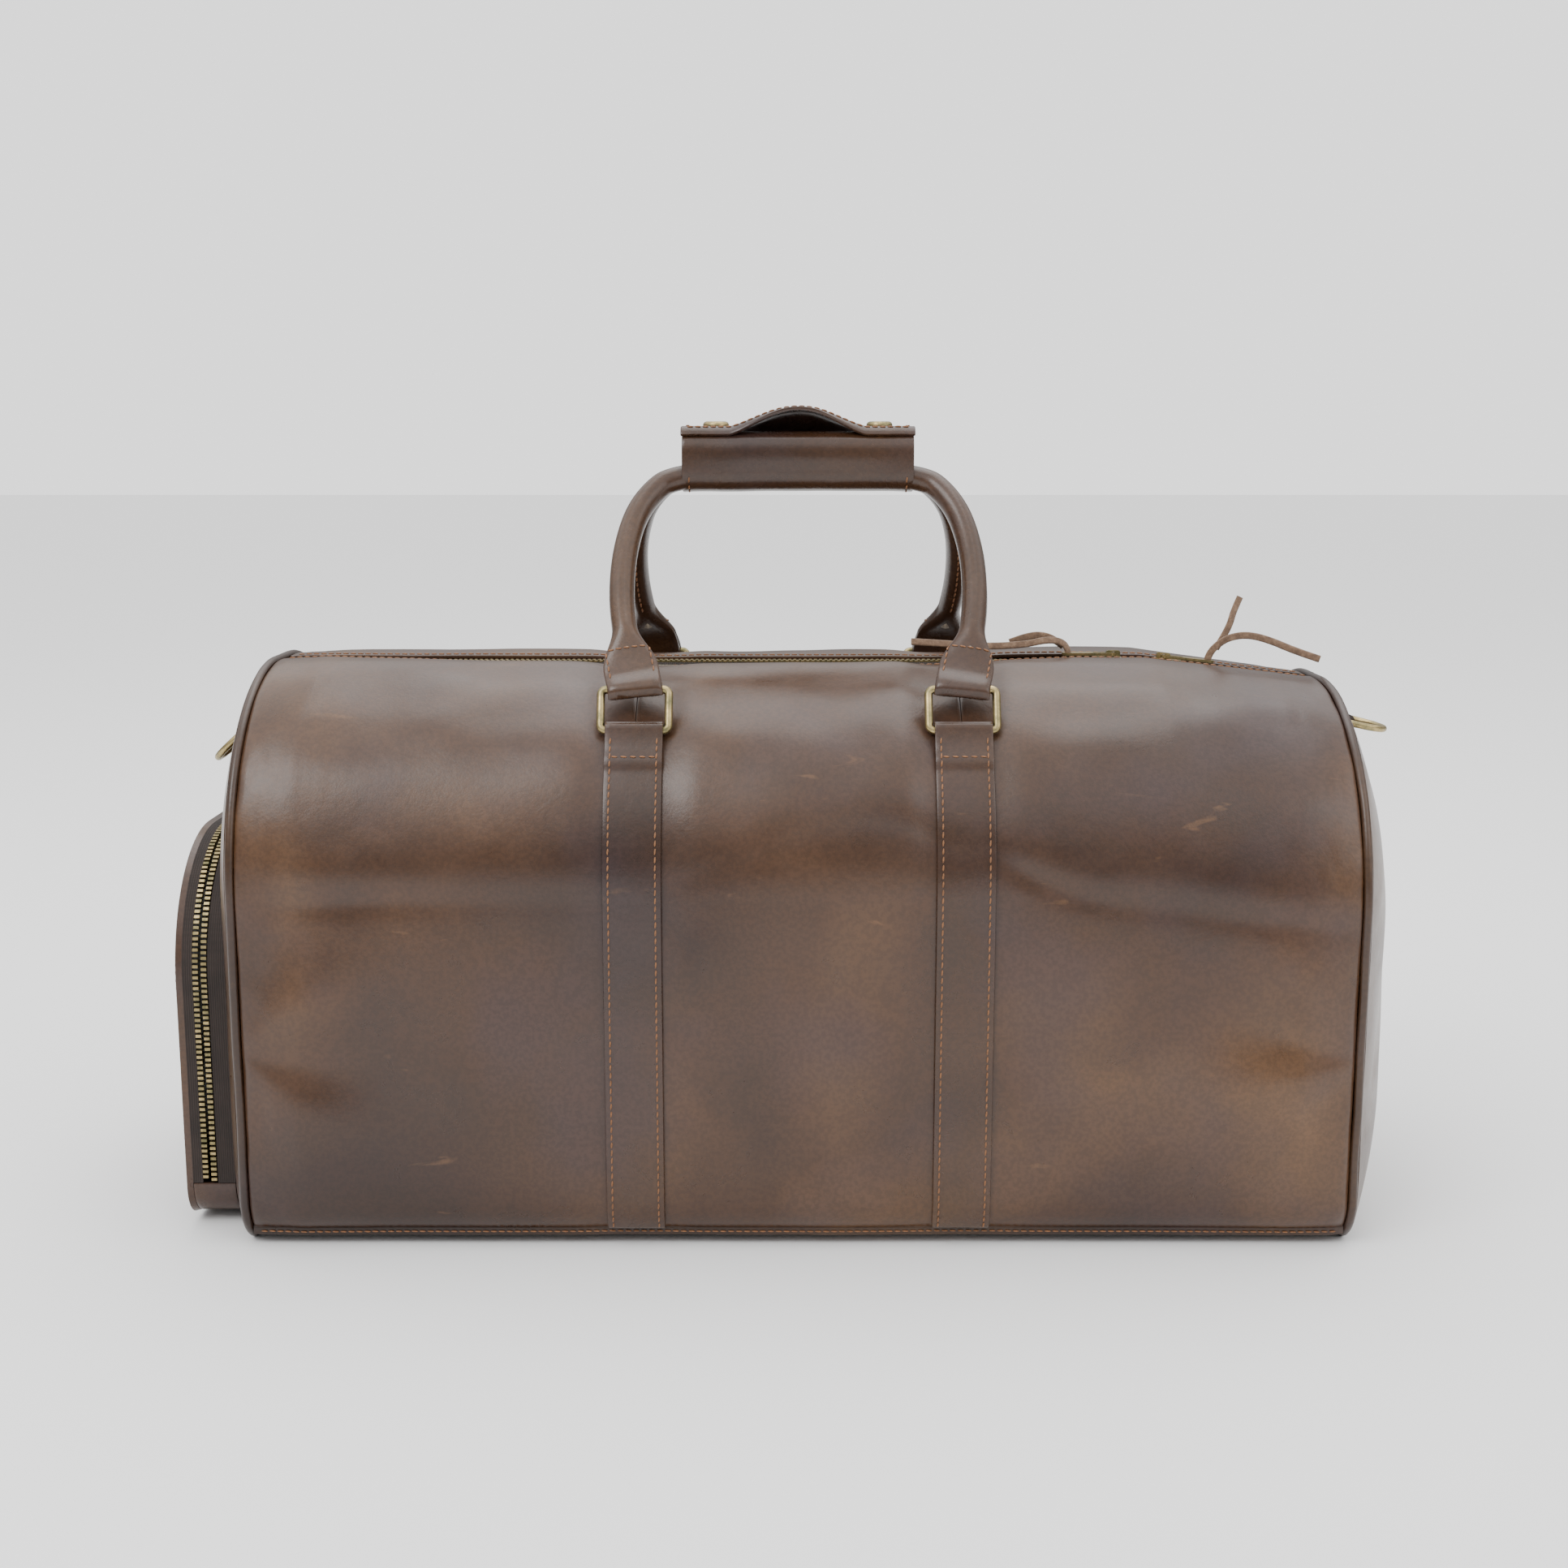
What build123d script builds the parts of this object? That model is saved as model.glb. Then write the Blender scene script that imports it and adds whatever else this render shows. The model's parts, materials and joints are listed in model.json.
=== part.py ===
"""Leather duffel bag with two rolled handles held together by a snapped grip wrap, a two-slider top
zip, a zipped pocket on its left end and a D-ring at each end.

Row frame, millimetres: +X along the bag, towards its right end, -Y the front, +Z up.
The origin is the middle of the bag's underside, on the surface that it stands on.
"""

import os
from math import atan2, cos, degrees, pi, radians, sin

from build123d import *

os.makedirs("parts", exist_ok=True)

# ---- driving dimensions -------------------------------------------------------------------------
body_length = 600.0  # between the two piped end seams
body_depth = 260.0
body_height = 309.0  # up to the zip
right_drop = 11.0  # the zip line falls this far at the right end
drop_start = 200.0  # x where that fall starts
shoulder_radius = 115.0
bottom_radius = 28.0
leather = 2.4
gap = 0.1  # between sewn pieces, so that they touch without overlapping
seam_z = 9.0  # height of the bottom panel's seam
lip_y = 8.0  # the panels' edges stand this far from the zip's middle
piping_radius = 2.5
piping_proud = 2.0
# end domes: distance out from the seam, inset of the outline there
cap_steps = {-1: [(5.4, 12.0), (13.4, 28.0)], 1: [(6.0, 14.0), (18.0, 45.0), (29.0, 80.0)]}
board_thickness = 2.0
board_half_y = 98.0
lining_thickness = 0.8

strap_spacing = 176.0
strap_width = 31.0
strap_angle = 44.0  # where the strap's eye sits on the shoulder, from the vertical
doubled_length = 20.0  # the strap is doubled this far below its eye
fold_leather = 2.2

ring_wire = 4.5
ring_inner_width = 32.0
ring_rise = 23.0  # between the ring's two bar centres
ring_corner = 3.0
ring_lean = 25.0  # the rings lean back by this much
eye_width = 30.0
eye_clearance = 0.35
tab_clearance = 0.5  # also takes up the open pivot of the handle linkage

handle_radius = 7.0
handle_bore = 4.7
core_radius = 4.55
tab_thickness = 5.2
grip_spacing = 16.0  # between the two grips' middles
grip_z = 415.0
leg_points = [(93.0, 24.0), (98.0, 58.0), (97.0, 95.0), (88.0, 126.0)]  # up the leg, from its tab
grip_reach = 68.0  # x where the leg bends into the straight grip

wrap_length = 132.0
wrap_clearance = 1.8
wrap_below = 11.4
wrap_above = 20.0
wrap_corner = 10.0
wrap_leather = 2.2
flap_lift = 4.0  # the flap stands off the sleeve by a snap's height
flap_bow = 11.0
flap_front = 15.0  # the flap's free edge, in front of the grip's middle
snap_x = 47.0
cap_radius = 7.5
socket_radius = 6.3
stud_radius = 5.4
post_radius = 1.8

tape_width = 13.0
tape_thickness = 0.8
tooth_pitch = 3.0
tooth_length = 1.6
tooth_inner = 0.8
tooth_outer = 3.8
tooth_height = 2.6
slider_length = 16.0
slider_half_y = 6.2
plate = 1.6
slider_x = (180.0, 216.0)
zip_end = 12.0  # the teeth stop this far from the piping
pull_length = 28.0
pull_width = 7.0
pull_thickness = 1.6
pull_slot = 3.3
crown_rise = 3.6

thong_radius = 1.3

pocket_half_y = 100.0
pocket_height = 212.0
pocket_top_radius = 75.0
pocket_bottom_radius = 20.0
pocket_floor = 4.0
pocket_tape = 7.0
pocket_seam_z = 26.0  # the zip's legs end here, and the leather bottom begins
pocket_dome = [(4.0, 10.0), (9.0, 35.0)]

dring_wire = 4.0
dring_radius = 17.0
dring_straight = 8.0
dring_corner = 3.0
dring_tab_width = 26.0
dring_tab_length = 13.0
dring_tab_drop = 1.0  # the tab starts this far below an edge of the dome
dring_hang = {-1: 42.0, 1: 12.0}  # degrees below the horizontal

half_length = body_length / 2
half_depth = body_depth / 2
strap_x = strap_spacing / 2
nodes = {}


def keep(name, part):
    """Files a finished solid, or a group of solids, under its node name."""
    part.label = name
    nodes[name] = part


def top_at(x):
    """Height of the bag's crown at x."""
    share = (x - drop_start) / (half_length - drop_start)
    return body_height - right_drop * max(0.0, share)


def arch_face(wide, low, high, low_radius, high_radius):
    """A face in (y, z): flat underneath, with round lower corners and rounder shoulders."""
    with BuildSketch() as face:
        with Locations((0, (low + high) / 2)):
            Rectangle(2 * wide, high - low)
        fillet(face.vertices().group_by(Axis.Y)[0], low_radius)
        fillet(face.vertices().group_by(Axis.Y)[-1], high_radius)
    return face.sketch


def loaf_face(top, inset, floor):
    """The bag's section, set in from its outer surface."""
    low_radius = bottom_radius - min(inset, bottom_radius / 2)
    return arch_face(half_depth - inset, floor, top - inset, low_radius, shoulder_radius - inset)


def at_station(x, face):
    """Stands a (y, z) face at x."""
    return Plane.YZ.offset(x) * face


def loaf(x0, x1, inset, floor):
    """The solid of the bag between two stations, set in from its outer surface."""
    stations = [x0] + [x for x in (drop_start,) if x0 < x < x1] + [x1]
    faces = [at_station(x, loaf_face(top_at(x), inset, floor)) for x in stations]
    with BuildPart() as solid:
        loft(faces, ruled=True)
    return solid.part


def region(x0, x1, y0, y1, z0, z1):
    """Keeps what lies in a box, inside the current part."""
    with Locations(((x0 + x1) / 2, (y0 + y1) / 2, (z0 + z1) / 2)):
        Box(x1 - x0, y1 - y0, z1 - z0, mode=Mode.INTERSECT)


# ---- sewn body ----------------------------------------------------------------------------------
panel_end = half_length - piping_radius - gap
body_outer = loaf(-panel_end, panel_end, 0.0, 0.0)
body_inner = loaf(-panel_end, panel_end, leather, leather)
far = 2 * body_length


def body_panel(x0, x1, y0, y1, z0, z1):
    with BuildPart() as panel:
        add(body_outer)
        add(body_inner, mode=Mode.SUBTRACT)
        region(x0, x1, y0, y1, z0, z1)
    return panel.part


columns = {
    "left": (-panel_end, -strap_x - gap / 2),
    "centre": (-strap_x + gap / 2, strap_x - gap / 2),
    "right": (strap_x + gap / 2, panel_end),
}
for column, (start, stop) in columns.items():
    keep(f"front_panel_{column}", body_panel(start, stop, -far, -lip_y, seam_z + gap, far))
    keep(f"back_panel_{column}", body_panel(start, stop, lip_y, far, seam_z + gap, far))
keep("bottom_panel", body_panel(-panel_end, panel_end, -far, far, -far, seam_z))


def dome(outline, steps, wall):
    """A solid dome from a list of (x, inset) stations, set in by the wall everywhere but its mouth."""
    outward = 1 if steps[-1][0] > steps[0][0] else -1
    faces = []
    for index, (x, inset) in enumerate(steps):
        faces.append(at_station(x - outward * (wall if index else 0.0), outline(inset + wall)))
    with BuildPart() as solid:
        loft(faces, ruled=True)
    return solid.part


def shell(outline, steps):
    """A domed leather panel, open towards the bag."""
    outer = dome(outline, steps, 0.0)
    inner = dome(outline, steps, leather)
    with BuildPart() as panel:
        add(outer)
        add(inner, mode=Mode.SUBTRACT)
    return panel.part


def cap_outline(side):
    """The end panel's outline at an inset, which pulls its bottom in less than its sides and top."""

    def outline(inset):
        low_radius = bottom_radius - min(inset, bottom_radius / 2)
        top = top_at(side * half_length) - inset
        return arch_face(half_depth - inset, inset / 3, top, low_radius, shoulder_radius - inset)

    return outline


seam_x = half_length + piping_radius + gap
for side, word in ((-1, "left"), (1, "right")):
    stations = [(side * seam_x, 0.0)] + [(side * (seam_x + out), inset) for out, inset in cap_steps[side]]
    keep(f"end_panel_{word}", shell(cap_outline(side), stations))


def wire_ring(face, radius):
    """A round tube along a face's outer edge."""
    path = face.faces()[0].outer_wire()
    with BuildPart() as ring:
        with BuildSketch(Plane(origin=path @ 0, z_dir=path % 0)):
            Circle(radius)
        sweep(path=path)
    return ring.part


def piping(side):
    """The leather-covered cord round an end seam, as a closed tube."""
    outline = loaf_face(top_at(side * half_length), piping_radius - piping_proud, piping_radius)
    return wire_ring(at_station(side * half_length, outline), piping_radius)


for side, word in ((-1, "left"), (1, "right")):
    keep(f"piping_{word}", piping(side))

# ---- inside: base board and lining --------------------------------------------------------------
board_end = half_length - 12.0
board_z = leather + gap
with BuildPart() as base_board:
    with BuildSketch(Plane.XY.offset(board_z)):
        RectangleRounded(2 * board_end, 2 * board_half_y, 20.0)
    extrude(amount=board_thickness)
keep("base_board", base_board.part)

lining_inset = leather + tape_thickness + 2 * gap
lining_floor = board_z + board_thickness + gap
lining_end = panel_end - 1.0
with BuildPart() as lining:
    add(loaf(-lining_end, lining_end, lining_inset, lining_floor))
    add(
        loaf(
            -lining_end + lining_thickness,
            lining_end - lining_thickness,
            lining_inset + lining_thickness,
            lining_floor + lining_thickness,
        ),
        mode=Mode.SUBTRACT,
    )
    with Locations((0, 0, body_height)):
        Box(2 * (half_length - zip_end), 2 * (lip_y + 2), 60, mode=Mode.SUBTRACT)
keep("lining", lining.part)

# ---- top zip ------------------------------------------------------------------------------------
fall = degrees(atan2(right_drop, half_length - drop_start))
level_plane = Plane.XY.offset(body_height)
drop_plane = Plane(
    origin=(drop_start, 0, body_height),
    x_dir=(cos(radians(fall)), 0, -sin(radians(fall))),
    z_dir=(sin(radians(fall)), 0, cos(radians(fall))),
)
tape_top = -leather - gap
tooth_mid = tape_top - tape_thickness / 2
kink_gap = 0.6
level_run = (-half_length + zip_end, drop_start - kink_gap)  # along x
drop_run = (kink_gap, (half_length - drop_start - zip_end) / cos(radians(fall)))  # along the slope


def zip_tapes(side):
    """One side's woven tape, in its level and its falling stretch."""
    middle = side * (tooth_outer + gap + tape_width / 2)
    with BuildPart() as tape:
        for plane, (a, b) in ((level_plane, level_run), (drop_plane, drop_run)):
            with BuildSketch(plane.offset(tape_top - tape_thickness)):
                with Locations(((a + b) / 2, middle)):
                    Rectangle(b - a, tape_width)
            extrude(amount=tape_thickness)
    return tape.part


def zip_teeth(side):
    """One side's row of teeth. The two rows stand apart by the width of the sliders' wedge."""
    middle = side * (tooth_inner + tooth_outer) / 2
    shift = 0.0 if side < 0 else tooth_pitch / 2
    with BuildPart() as row:
        for plane, (a, b) in ((level_plane, level_run), (drop_plane, drop_run)):
            count = int((b - a - tooth_pitch) / tooth_pitch)
            with BuildSketch(plane.offset(tooth_mid - tooth_height / 2)):
                with Locations(((a + b) / 2 + shift - tooth_pitch / 4, middle)):
                    with GridLocations(tooth_pitch, 0, count, 1):
                        Rectangle(tooth_length, tooth_outer - tooth_inner)
            extrude(amount=tooth_height)
    return row.part


for side, word in ((-1, "front"), (1, "back")):
    keep(f"zip_tape_{word}", zip_tapes(side))
    keep(f"zip_teeth_{word}", zip_teeth(side))

with BuildPart() as zip_stops:
    stop_length = 4.0
    for plane, at in (
        (level_plane, level_run[0] - stop_length / 2 - gap),
        (drop_plane, drop_run[1] + stop_length / 2 + gap),
    ):
        with BuildSketch(plane.offset(tape_top - tape_thickness)):
            with Locations((at, 0)):
                Rectangle(stop_length, 2 * tooth_outer)
        extrude(amount=tooth_height)
keep("zip_stops", zip_stops.part)

plate_gap = tooth_height + 0.6  # the channel that the teeth run through
crown_hole = 1.5
crown_z = tooth_mid + plate_gap / 2 + plate + crown_rise / 2 - 0.3


def zip_slider(plane, nose):
    """A slider on the teeth, in the plane of the zip; nose is +1 or -1 along it.
    Two plates joined by a wedge, side flanges that stop short of the tape, and a crown for the pull."""
    low = tooth_mid - plate_gap / 2
    high = tooth_mid + plate_gap / 2
    with BuildPart() as slider:
        with BuildSketch(plane.offset(high)):
            RectangleRounded(slider_length, 2 * slider_half_y, 3.0)
        extrude(amount=plate)
        with BuildSketch(plane.offset(low - plate)):
            RectangleRounded(slider_length, 2 * slider_half_y, 3.0)
        extrude(amount=plate)
        with BuildSketch(plane.offset(low)):
            with Locations((nose * (slider_length / 2 - 3.0), 0)):
                Rectangle(4.0, 2 * (tooth_inner - 0.25))
        extrude(amount=plate_gap)
        for y in (-1, 1):
            with BuildSketch(plane.offset(high)):
                with Locations((0, y * (slider_half_y - 0.6))):
                    Rectangle(slider_length * 0.6, 1.2)
            extrude(amount=-(plate_gap - tape_thickness) / 2 + 0.3)
        crown_plane = Plane(origin=plane.origin, x_dir=plane.x_dir, z_dir=-plane.y_dir)
        with BuildSketch(crown_plane):
            with Locations((nose * 3.5, high + plate + crown_rise / 2 - 0.8)):
                RectangleRounded(8.0, crown_rise + 1.6, 1.2)
            with Locations((nose * 3.5, crown_z)):
                Circle(crown_hole, mode=Mode.SUBTRACT)
        extrude(amount=1.2, both=True)
    return slider.part


def zip_pull(plane, nose):
    """The brass pull: two cheeks and a pin through the crown, and a flat tail with a slot."""
    tail = -nose
    start = nose * 3.5
    with BuildPart() as pull:
        with BuildSketch(plane.offset(crown_z - pull_thickness / 2)):
            with Locations((start + tail * pull_length / 2, 0)):
                SlotOverall(pull_length + pull_width / 2, pull_width)
            with Locations((start + tail * 3.0, 0)):
                Rectangle(17.0, 3.2, mode=Mode.SUBTRACT)
            with Locations((start + tail * (pull_length - 2.0), 0)):
                SlotOverall(5.2, pull_slot, rotation=90, mode=Mode.SUBTRACT)
        extrude(amount=pull_thickness)
        pin_plane = Plane(origin=plane.origin, x_dir=plane.x_dir, z_dir=-plane.y_dir)
        with BuildSketch(pin_plane):
            with Locations((start, crown_z)):
                Circle(crown_hole - 0.4)
        extrude(amount=pull_width / 2 - 0.4, both=True)
    return pull.part


def at_x(x):
    """The zip's plane with its origin at x, on the level or the falling stretch."""
    if x < drop_start:
        return Plane(origin=(x, 0, body_height))
    along = (x - drop_start) / cos(radians(fall))
    return drop_plane.shift_origin(drop_plane.from_local_coords((along, 0, 0)))


for x, word, nose in ((slider_x[0], "left", 1), (slider_x[1], "right", -1)):
    keep(f"zip_slider_{word}", zip_slider(at_x(x), nose))
    keep(f"zip_pull_{word}", zip_pull(at_x(x), nose))


def cord_tube(points, radius):
    """A round tube along straight runs joined by arcs as large as the runs allow."""
    spots = [Vector(*p) for p in points]
    radii = []
    for a, b, c in zip(spots, spots[1:], spots[2:]):
        turn = (b - a).get_angle(c - b)
        run = min((b - a).length, (c - b).length)
        radii.append(0.45 * run / (sin(radians(turn / 2)) / cos(radians(turn / 2))))
    with BuildPart() as tube:
        with BuildLine() as path:
            FilletPolyline(*points, radius=radii)
        start = path.wire()
        with BuildSketch(Plane(origin=start @ 0, z_dir=start % 0)):
            Circle(radius)
        sweep(path=start)
    print("cord: length", round(start.length, 1), "radii", [round(r) for r in radii])
    full = pi * radius**2 * start.length
    print("  volume over section times length", round(tube.part.volume / full, 3))
    return tube.part


# The leather thongs on the two pulls, each knotted through its pull's slot: a long and a short tail.
thong_routes = {
    "thong_left_long": [
        (157.5, 0.0, 310.2),
        (157.3, -0.1, 314.0),
        (153.0, -0.8, 318.3),
        (144.5, -2.0, 319.3),
        (132.0, -2.2, 316.4),
        (110.0, 1.5, 314.9),
        (88.0, 0.8, 316.6),
        (66.0, -1.0, 318.0),
    ],
    "thong_right_long": [
        (238.4, 0.0, 306.0),
        (238.9, -0.1, 309.8),
        (243.0, -0.8, 315.5),
        (250.0, -1.6, 320.5),
        (261.0, -2.2, 322.3),
        (274.0, -3.2, 319.0),
        (288.0, -5.0, 313.0),
        (302.0, -7.5, 308.5),
    ],
}
thong_routes["thong_left_short"] = [
    (155.0, 2.9, 315.0),
    (149.0, 3.6, 319.5),
    (141.0, 4.6, 321.6),
    (132.0, 5.4, 320.0),
    (124.0, 6.0, 316.8),
]
thong_routes["thong_right_short"] = [
    (244.0, 2.9, 313.5),
    (248.0, 3.6, 320.0),
    (252.0, 4.6, 327.5),
    (254.0, 5.2, 335.5),
    (257.5, 5.6, 343.5),
]
for name, route in thong_routes.items():
    keep(name, cord_tube(route, thong_radius))

# ---- straps, rings and handles ------------------------------------------------------------------
ring_radius = ring_wire / 2
eye_inner = ring_radius + eye_clearance
eye_outer = eye_inner + fold_leather
tab_inner = ring_radius + tab_clearance
tab_outer = tab_inner + fold_leather
shoulder_y = half_depth - shoulder_radius
shoulder_z = body_height - shoulder_radius
strap_foot = seam_z + 5.0
eye_radius = shoulder_radius + gap + eye_outer


def on_shoulder(side, length, radius):
    """A point (y, z) near the shoulder: length down the strap from its eye, radius from the centre."""
    angle = radians(strap_angle) + length / shoulder_radius
    return side * (shoulder_y + radius * sin(angle)), shoulder_z + radius * cos(angle)


strap_outer = loaf_face(body_height, -gap - leather, -gap - leather)
strap_inner = loaf_face(body_height, -gap, -gap)


def strap(side, x):
    """A strap sewn up the panel; its end is folded round the ring's lower bar and laid back on it."""
    top = shoulder_radius + gap
    with BuildPart() as piece:
        with BuildSketch(Plane.YZ.offset(x - strap_width / 2)):
            add(strap_outer)
            add(strap_inner, mode=Mode.SUBTRACT)
            with BuildLine():
                Polyline(
                    (side * shoulder_y, shoulder_z),
                    on_shoulder(side, 0, far),
                    (side * far, strap_foot),
                    (side * shoulder_y, strap_foot),
                    close=True,
                )
            make_face(mode=Mode.INTERSECT)
        extrude(amount=strap_width)
        with BuildSketch(Plane.YZ.offset(x - eye_width / 2)):
            with BuildLine():
                Polyline(
                    on_shoulder(side, 0, top + leather / 2),
                    on_shoulder(side, 0, top + 2 * eye_outer),
                    on_shoulder(side, doubled_length / 2, top + leather + fold_leather + 0.6),
                    on_shoulder(side, doubled_length, top + leather + fold_leather),
                    on_shoulder(side, doubled_length, top + leather / 2),
                    on_shoulder(side, doubled_length / 2, top + leather / 2),
                    close=True,
                )
            make_face()
            with Locations(on_shoulder(side, 0, eye_radius)):
                Circle(eye_outer)
                Circle(eye_inner, mode=Mode.SUBTRACT)
        extrude(amount=eye_width)
    return piece.part


def rounded_ring(plane, width, height, corner, radius):
    """A wire ring with straight bars; the plane's origin is the middle of its lower bar."""
    with BuildSketch(plane) as outline:
        with Locations((0, height / 2)):
            RectangleRounded(width, height, corner)
    return wire_ring(outline.sketch, radius)


lean = (sin(radians(ring_lean)), cos(radians(ring_lean)))
bars = {}  # (y, z) of each side's lower and upper ring bar
for side in (-1, 1):
    y, z = on_shoulder(side, 0, eye_radius)
    bars[side] = ((y, z), (y + ring_rise * lean[0], z + ring_rise * lean[1]))

sides = {-1: "front", 1: "back"}
ends = {-1: "left", 1: "right"}
for side, face_word in sides.items():
    low_y, low_z = bars[side][0]
    for end, end_word in ends.items():
        x = end * strap_x
        keep(f"{face_word}_strap_{end_word}", strap(side, x))
        ring_plane = Plane(origin=(x, low_y, low_z), x_dir=(1, 0, 0), z_dir=(0, -lean[1], lean[0]))
        ring = rounded_ring(ring_plane, ring_inner_width + ring_wire, ring_rise, ring_corner, ring_radius)
        keep(f"{face_word}_ring_{end_word}", ring)

grip_y = (bars[-1][1][0] + bars[1][1][0]) / 2


def rolled_handle(side):
    """A rolled handle in its own leaning plane: two flat tabs that flare into a round roll."""
    tab_y, tab_z = bars[side][1]
    reach_y = grip_y + side * grip_spacing / 2 - tab_y
    reach_z = grip_z - tab_z
    rise = (reach_y**2 + reach_z**2) ** 0.5
    up = Vector(0, reach_y / rise, reach_z / rise)
    across = Vector(1, 0, 0)
    normal = across.cross(up)
    plane = Plane(origin=(0, tab_y, tab_z), x_dir=across, z_dir=normal)
    leg = leg_points + [(grip_reach, rise)]
    points = leg + [(-x, v) for x, v in reversed(leg)]
    spots = [Vector(*p) for p in points]
    radii = [bend_radius(*three) for three in zip(spots, spots[1:], spots[2:])]
    with BuildLine(plane) as line:
        FilletPolyline(*points, radius=radii)
    path = line.wire()
    with BuildPart() as core:
        with BuildSketch(Plane(origin=path @ 0, z_dir=path % 0)):
            Circle(core_radius)
        sweep(path=path)
    with BuildPart() as handle:
        with BuildSketch(Plane(origin=path @ 0, z_dir=path % 0)):
            Circle(handle_radius)
        sweep(path=path)
        for end in (-1, 1):
            eye_plane = Plane(origin=(end * strap_x - eye_width / 2, tab_y, tab_z), x_dir=up, z_dir=across)
            with BuildSketch(eye_plane):
                with BuildLine():
                    Polyline(
                        (0, tab_outer),
                        (tab_outer, tab_outer * 0.8),
                        (tab_neck, tab_thickness / 2),
                        (tab_neck, -tab_thickness / 2),
                        (tab_outer, -tab_outer * 0.8),
                        (0, -tab_outer),
                        close=True,
                    )
                make_face()
                Circle(tab_outer)
                Circle(tab_inner, mode=Mode.SUBTRACT)
            extrude(amount=eye_width)
            for v, x, wide, thick in flare:
                spot = plane.from_local_coords((end * x, v, 0))
                with BuildSketch(Plane(origin=spot, x_dir=across, z_dir=up)):
                    Ellipse(wide, thick)
            loft()
        with BuildSketch(Plane(origin=path @ 0, z_dir=path % 0)):
            Circle(handle_bore)
        sweep(path=path, mode=Mode.SUBTRACT)
    return handle.part, core.part


tab_neck = 12.0  # where the folded tab has closed to its flat thickness
flare = [
    (tab_neck - 0.5, 90.5, eye_width / 2, tab_thickness / 2),
    (22.0, 92.8, 12.5, 3.8),
    (33.0, 94.2, 8.0, 6.4),
    (42.0, 95.6, handle_radius - 0.2, handle_radius - 0.2),
]


def bend_radius(a, b, c):
    """The largest fillet that a corner's two runs allow."""
    turn = radians((b - a).get_angle(c - b) / 2)
    return 0.45 * min((b - a).length, (c - b).length) * cos(turn) / sin(turn)


for side, word in sides.items():
    handle, core = rolled_handle(side)
    keep(f"{word}_handle", handle)
    keep(f"{word}_handle_core", core)

# ---- grip wrap ----------------------------------------------------------------------------------
wrap_half_y = grip_spacing / 2 + handle_radius + wrap_clearance + wrap_leather
wrap_x0 = -wrap_length / 2
sleeve_height = wrap_below + wrap_above
flap_z = grip_z + wrap_above + flap_lift
fold_y = grip_y + wrap_half_y

with BuildPart() as wrap_sleeve:
    with BuildSketch(Plane.YZ.offset(wrap_x0)):
        with Locations((grip_y, grip_z - wrap_below + sleeve_height / 2)):
            RectangleRounded(2 * wrap_half_y, sleeve_height, wrap_corner)
            inside = 2 * wrap_leather
            RectangleRounded(
                2 * wrap_half_y - inside,
                sleeve_height - inside,
                wrap_corner - wrap_leather,
                mode=Mode.SUBTRACT,
            )
        with BuildLine():
            Polyline(
                (fold_y, grip_z),
                (fold_y, flap_z),
                (fold_y - wrap_leather, flap_z),
                (fold_y - wrap_leather, grip_z),
                close=True,
            )
        make_face()
    extrude(amount=wrap_length)
keep("wrap_sleeve", wrap_sleeve.part)

with BuildPart() as wrap_flap:
    with BuildSketch(Plane.XZ.offset(-(fold_y - wrap_leather - 0.2))):
        with BuildLine():
            edge = snap_x - cap_radius - 2
            Line((wrap_x0, flap_z), (-edge, flap_z))
            ThreePointArc((-edge, flap_z), (0, flap_z + flap_bow), (edge, flap_z))
            Line((edge, flap_z), (-wrap_x0, flap_z))
            Line((-wrap_x0, flap_z), (-wrap_x0, flap_z + wrap_leather))
            Line((-wrap_x0, flap_z + wrap_leather), (edge, flap_z + wrap_leather))
            ThreePointArc(
                (edge, flap_z + wrap_leather),
                (0, flap_z + flap_bow + wrap_leather),
                (-edge, flap_z + wrap_leather),
            )
            Line((-edge, flap_z + wrap_leather), (wrap_x0, flap_z + wrap_leather))
            Line((wrap_x0, flap_z + wrap_leather), (wrap_x0, flap_z))
        make_face()
    extrude(amount=fold_y - wrap_leather - 0.2 - (grip_y - flap_front))
    with Locations((-snap_x, grip_y, flap_z), (snap_x, grip_y, flap_z)):
        Cylinder(post_radius + gap, 3 * wrap_leather, mode=Mode.SUBTRACT)
keep("wrap_flap", wrap_flap.part)


def snap_pieces(end):
    """A snap: the domed cap with its post and the socket on the flap, and the stud on the sleeve."""
    x = end * snap_x
    top = flap_z + wrap_leather + gap
    cap_dome = 2.6
    sleeve_top = grip_z + wrap_above
    with BuildPart() as cap:
        with BuildSketch(Plane.XY.offset(top)):
            with Locations((x, grip_y)):
                Circle(cap_radius)
        extrude(amount=cap_dome)
        fillet(cap.edges().group_by(Axis.Z)[-1], cap_dome - 0.3)
        with BuildSketch(Plane.XY.offset(flap_z - gap)):
            with Locations((x, grip_y)):
                Circle(post_radius)
        extrude(amount=wrap_leather + 3 * gap)
    with BuildPart() as socket:
        with BuildSketch(Plane.XY.offset(flap_z - gap)):
            with Locations((x, grip_y)):
                Circle(socket_radius)
        extrude(amount=-2.4)
        with BuildSketch(Plane.XY.offset(flap_z - gap - 2.4)):
            with Locations((x, grip_y)):
                Circle(post_radius + 0.35)
        extrude(amount=1.8, mode=Mode.SUBTRACT)
    with BuildPart() as stud:
        with BuildSketch(Plane.XY.offset(sleeve_top + gap)):
            with Locations((x, grip_y)):
                Circle(stud_radius)
        extrude(amount=0.9)
        with BuildSketch(Plane.XY.offset(sleeve_top + gap + 0.9)):
            with Locations((x, grip_y)):
                Circle(post_radius)
        extrude(amount=flap_lift - gap - 0.9 - 0.8)
        fillet(stud.edges().group_by(Axis.Z)[-1], 0.5)
    return cap.part, socket.part, stud.part


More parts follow.
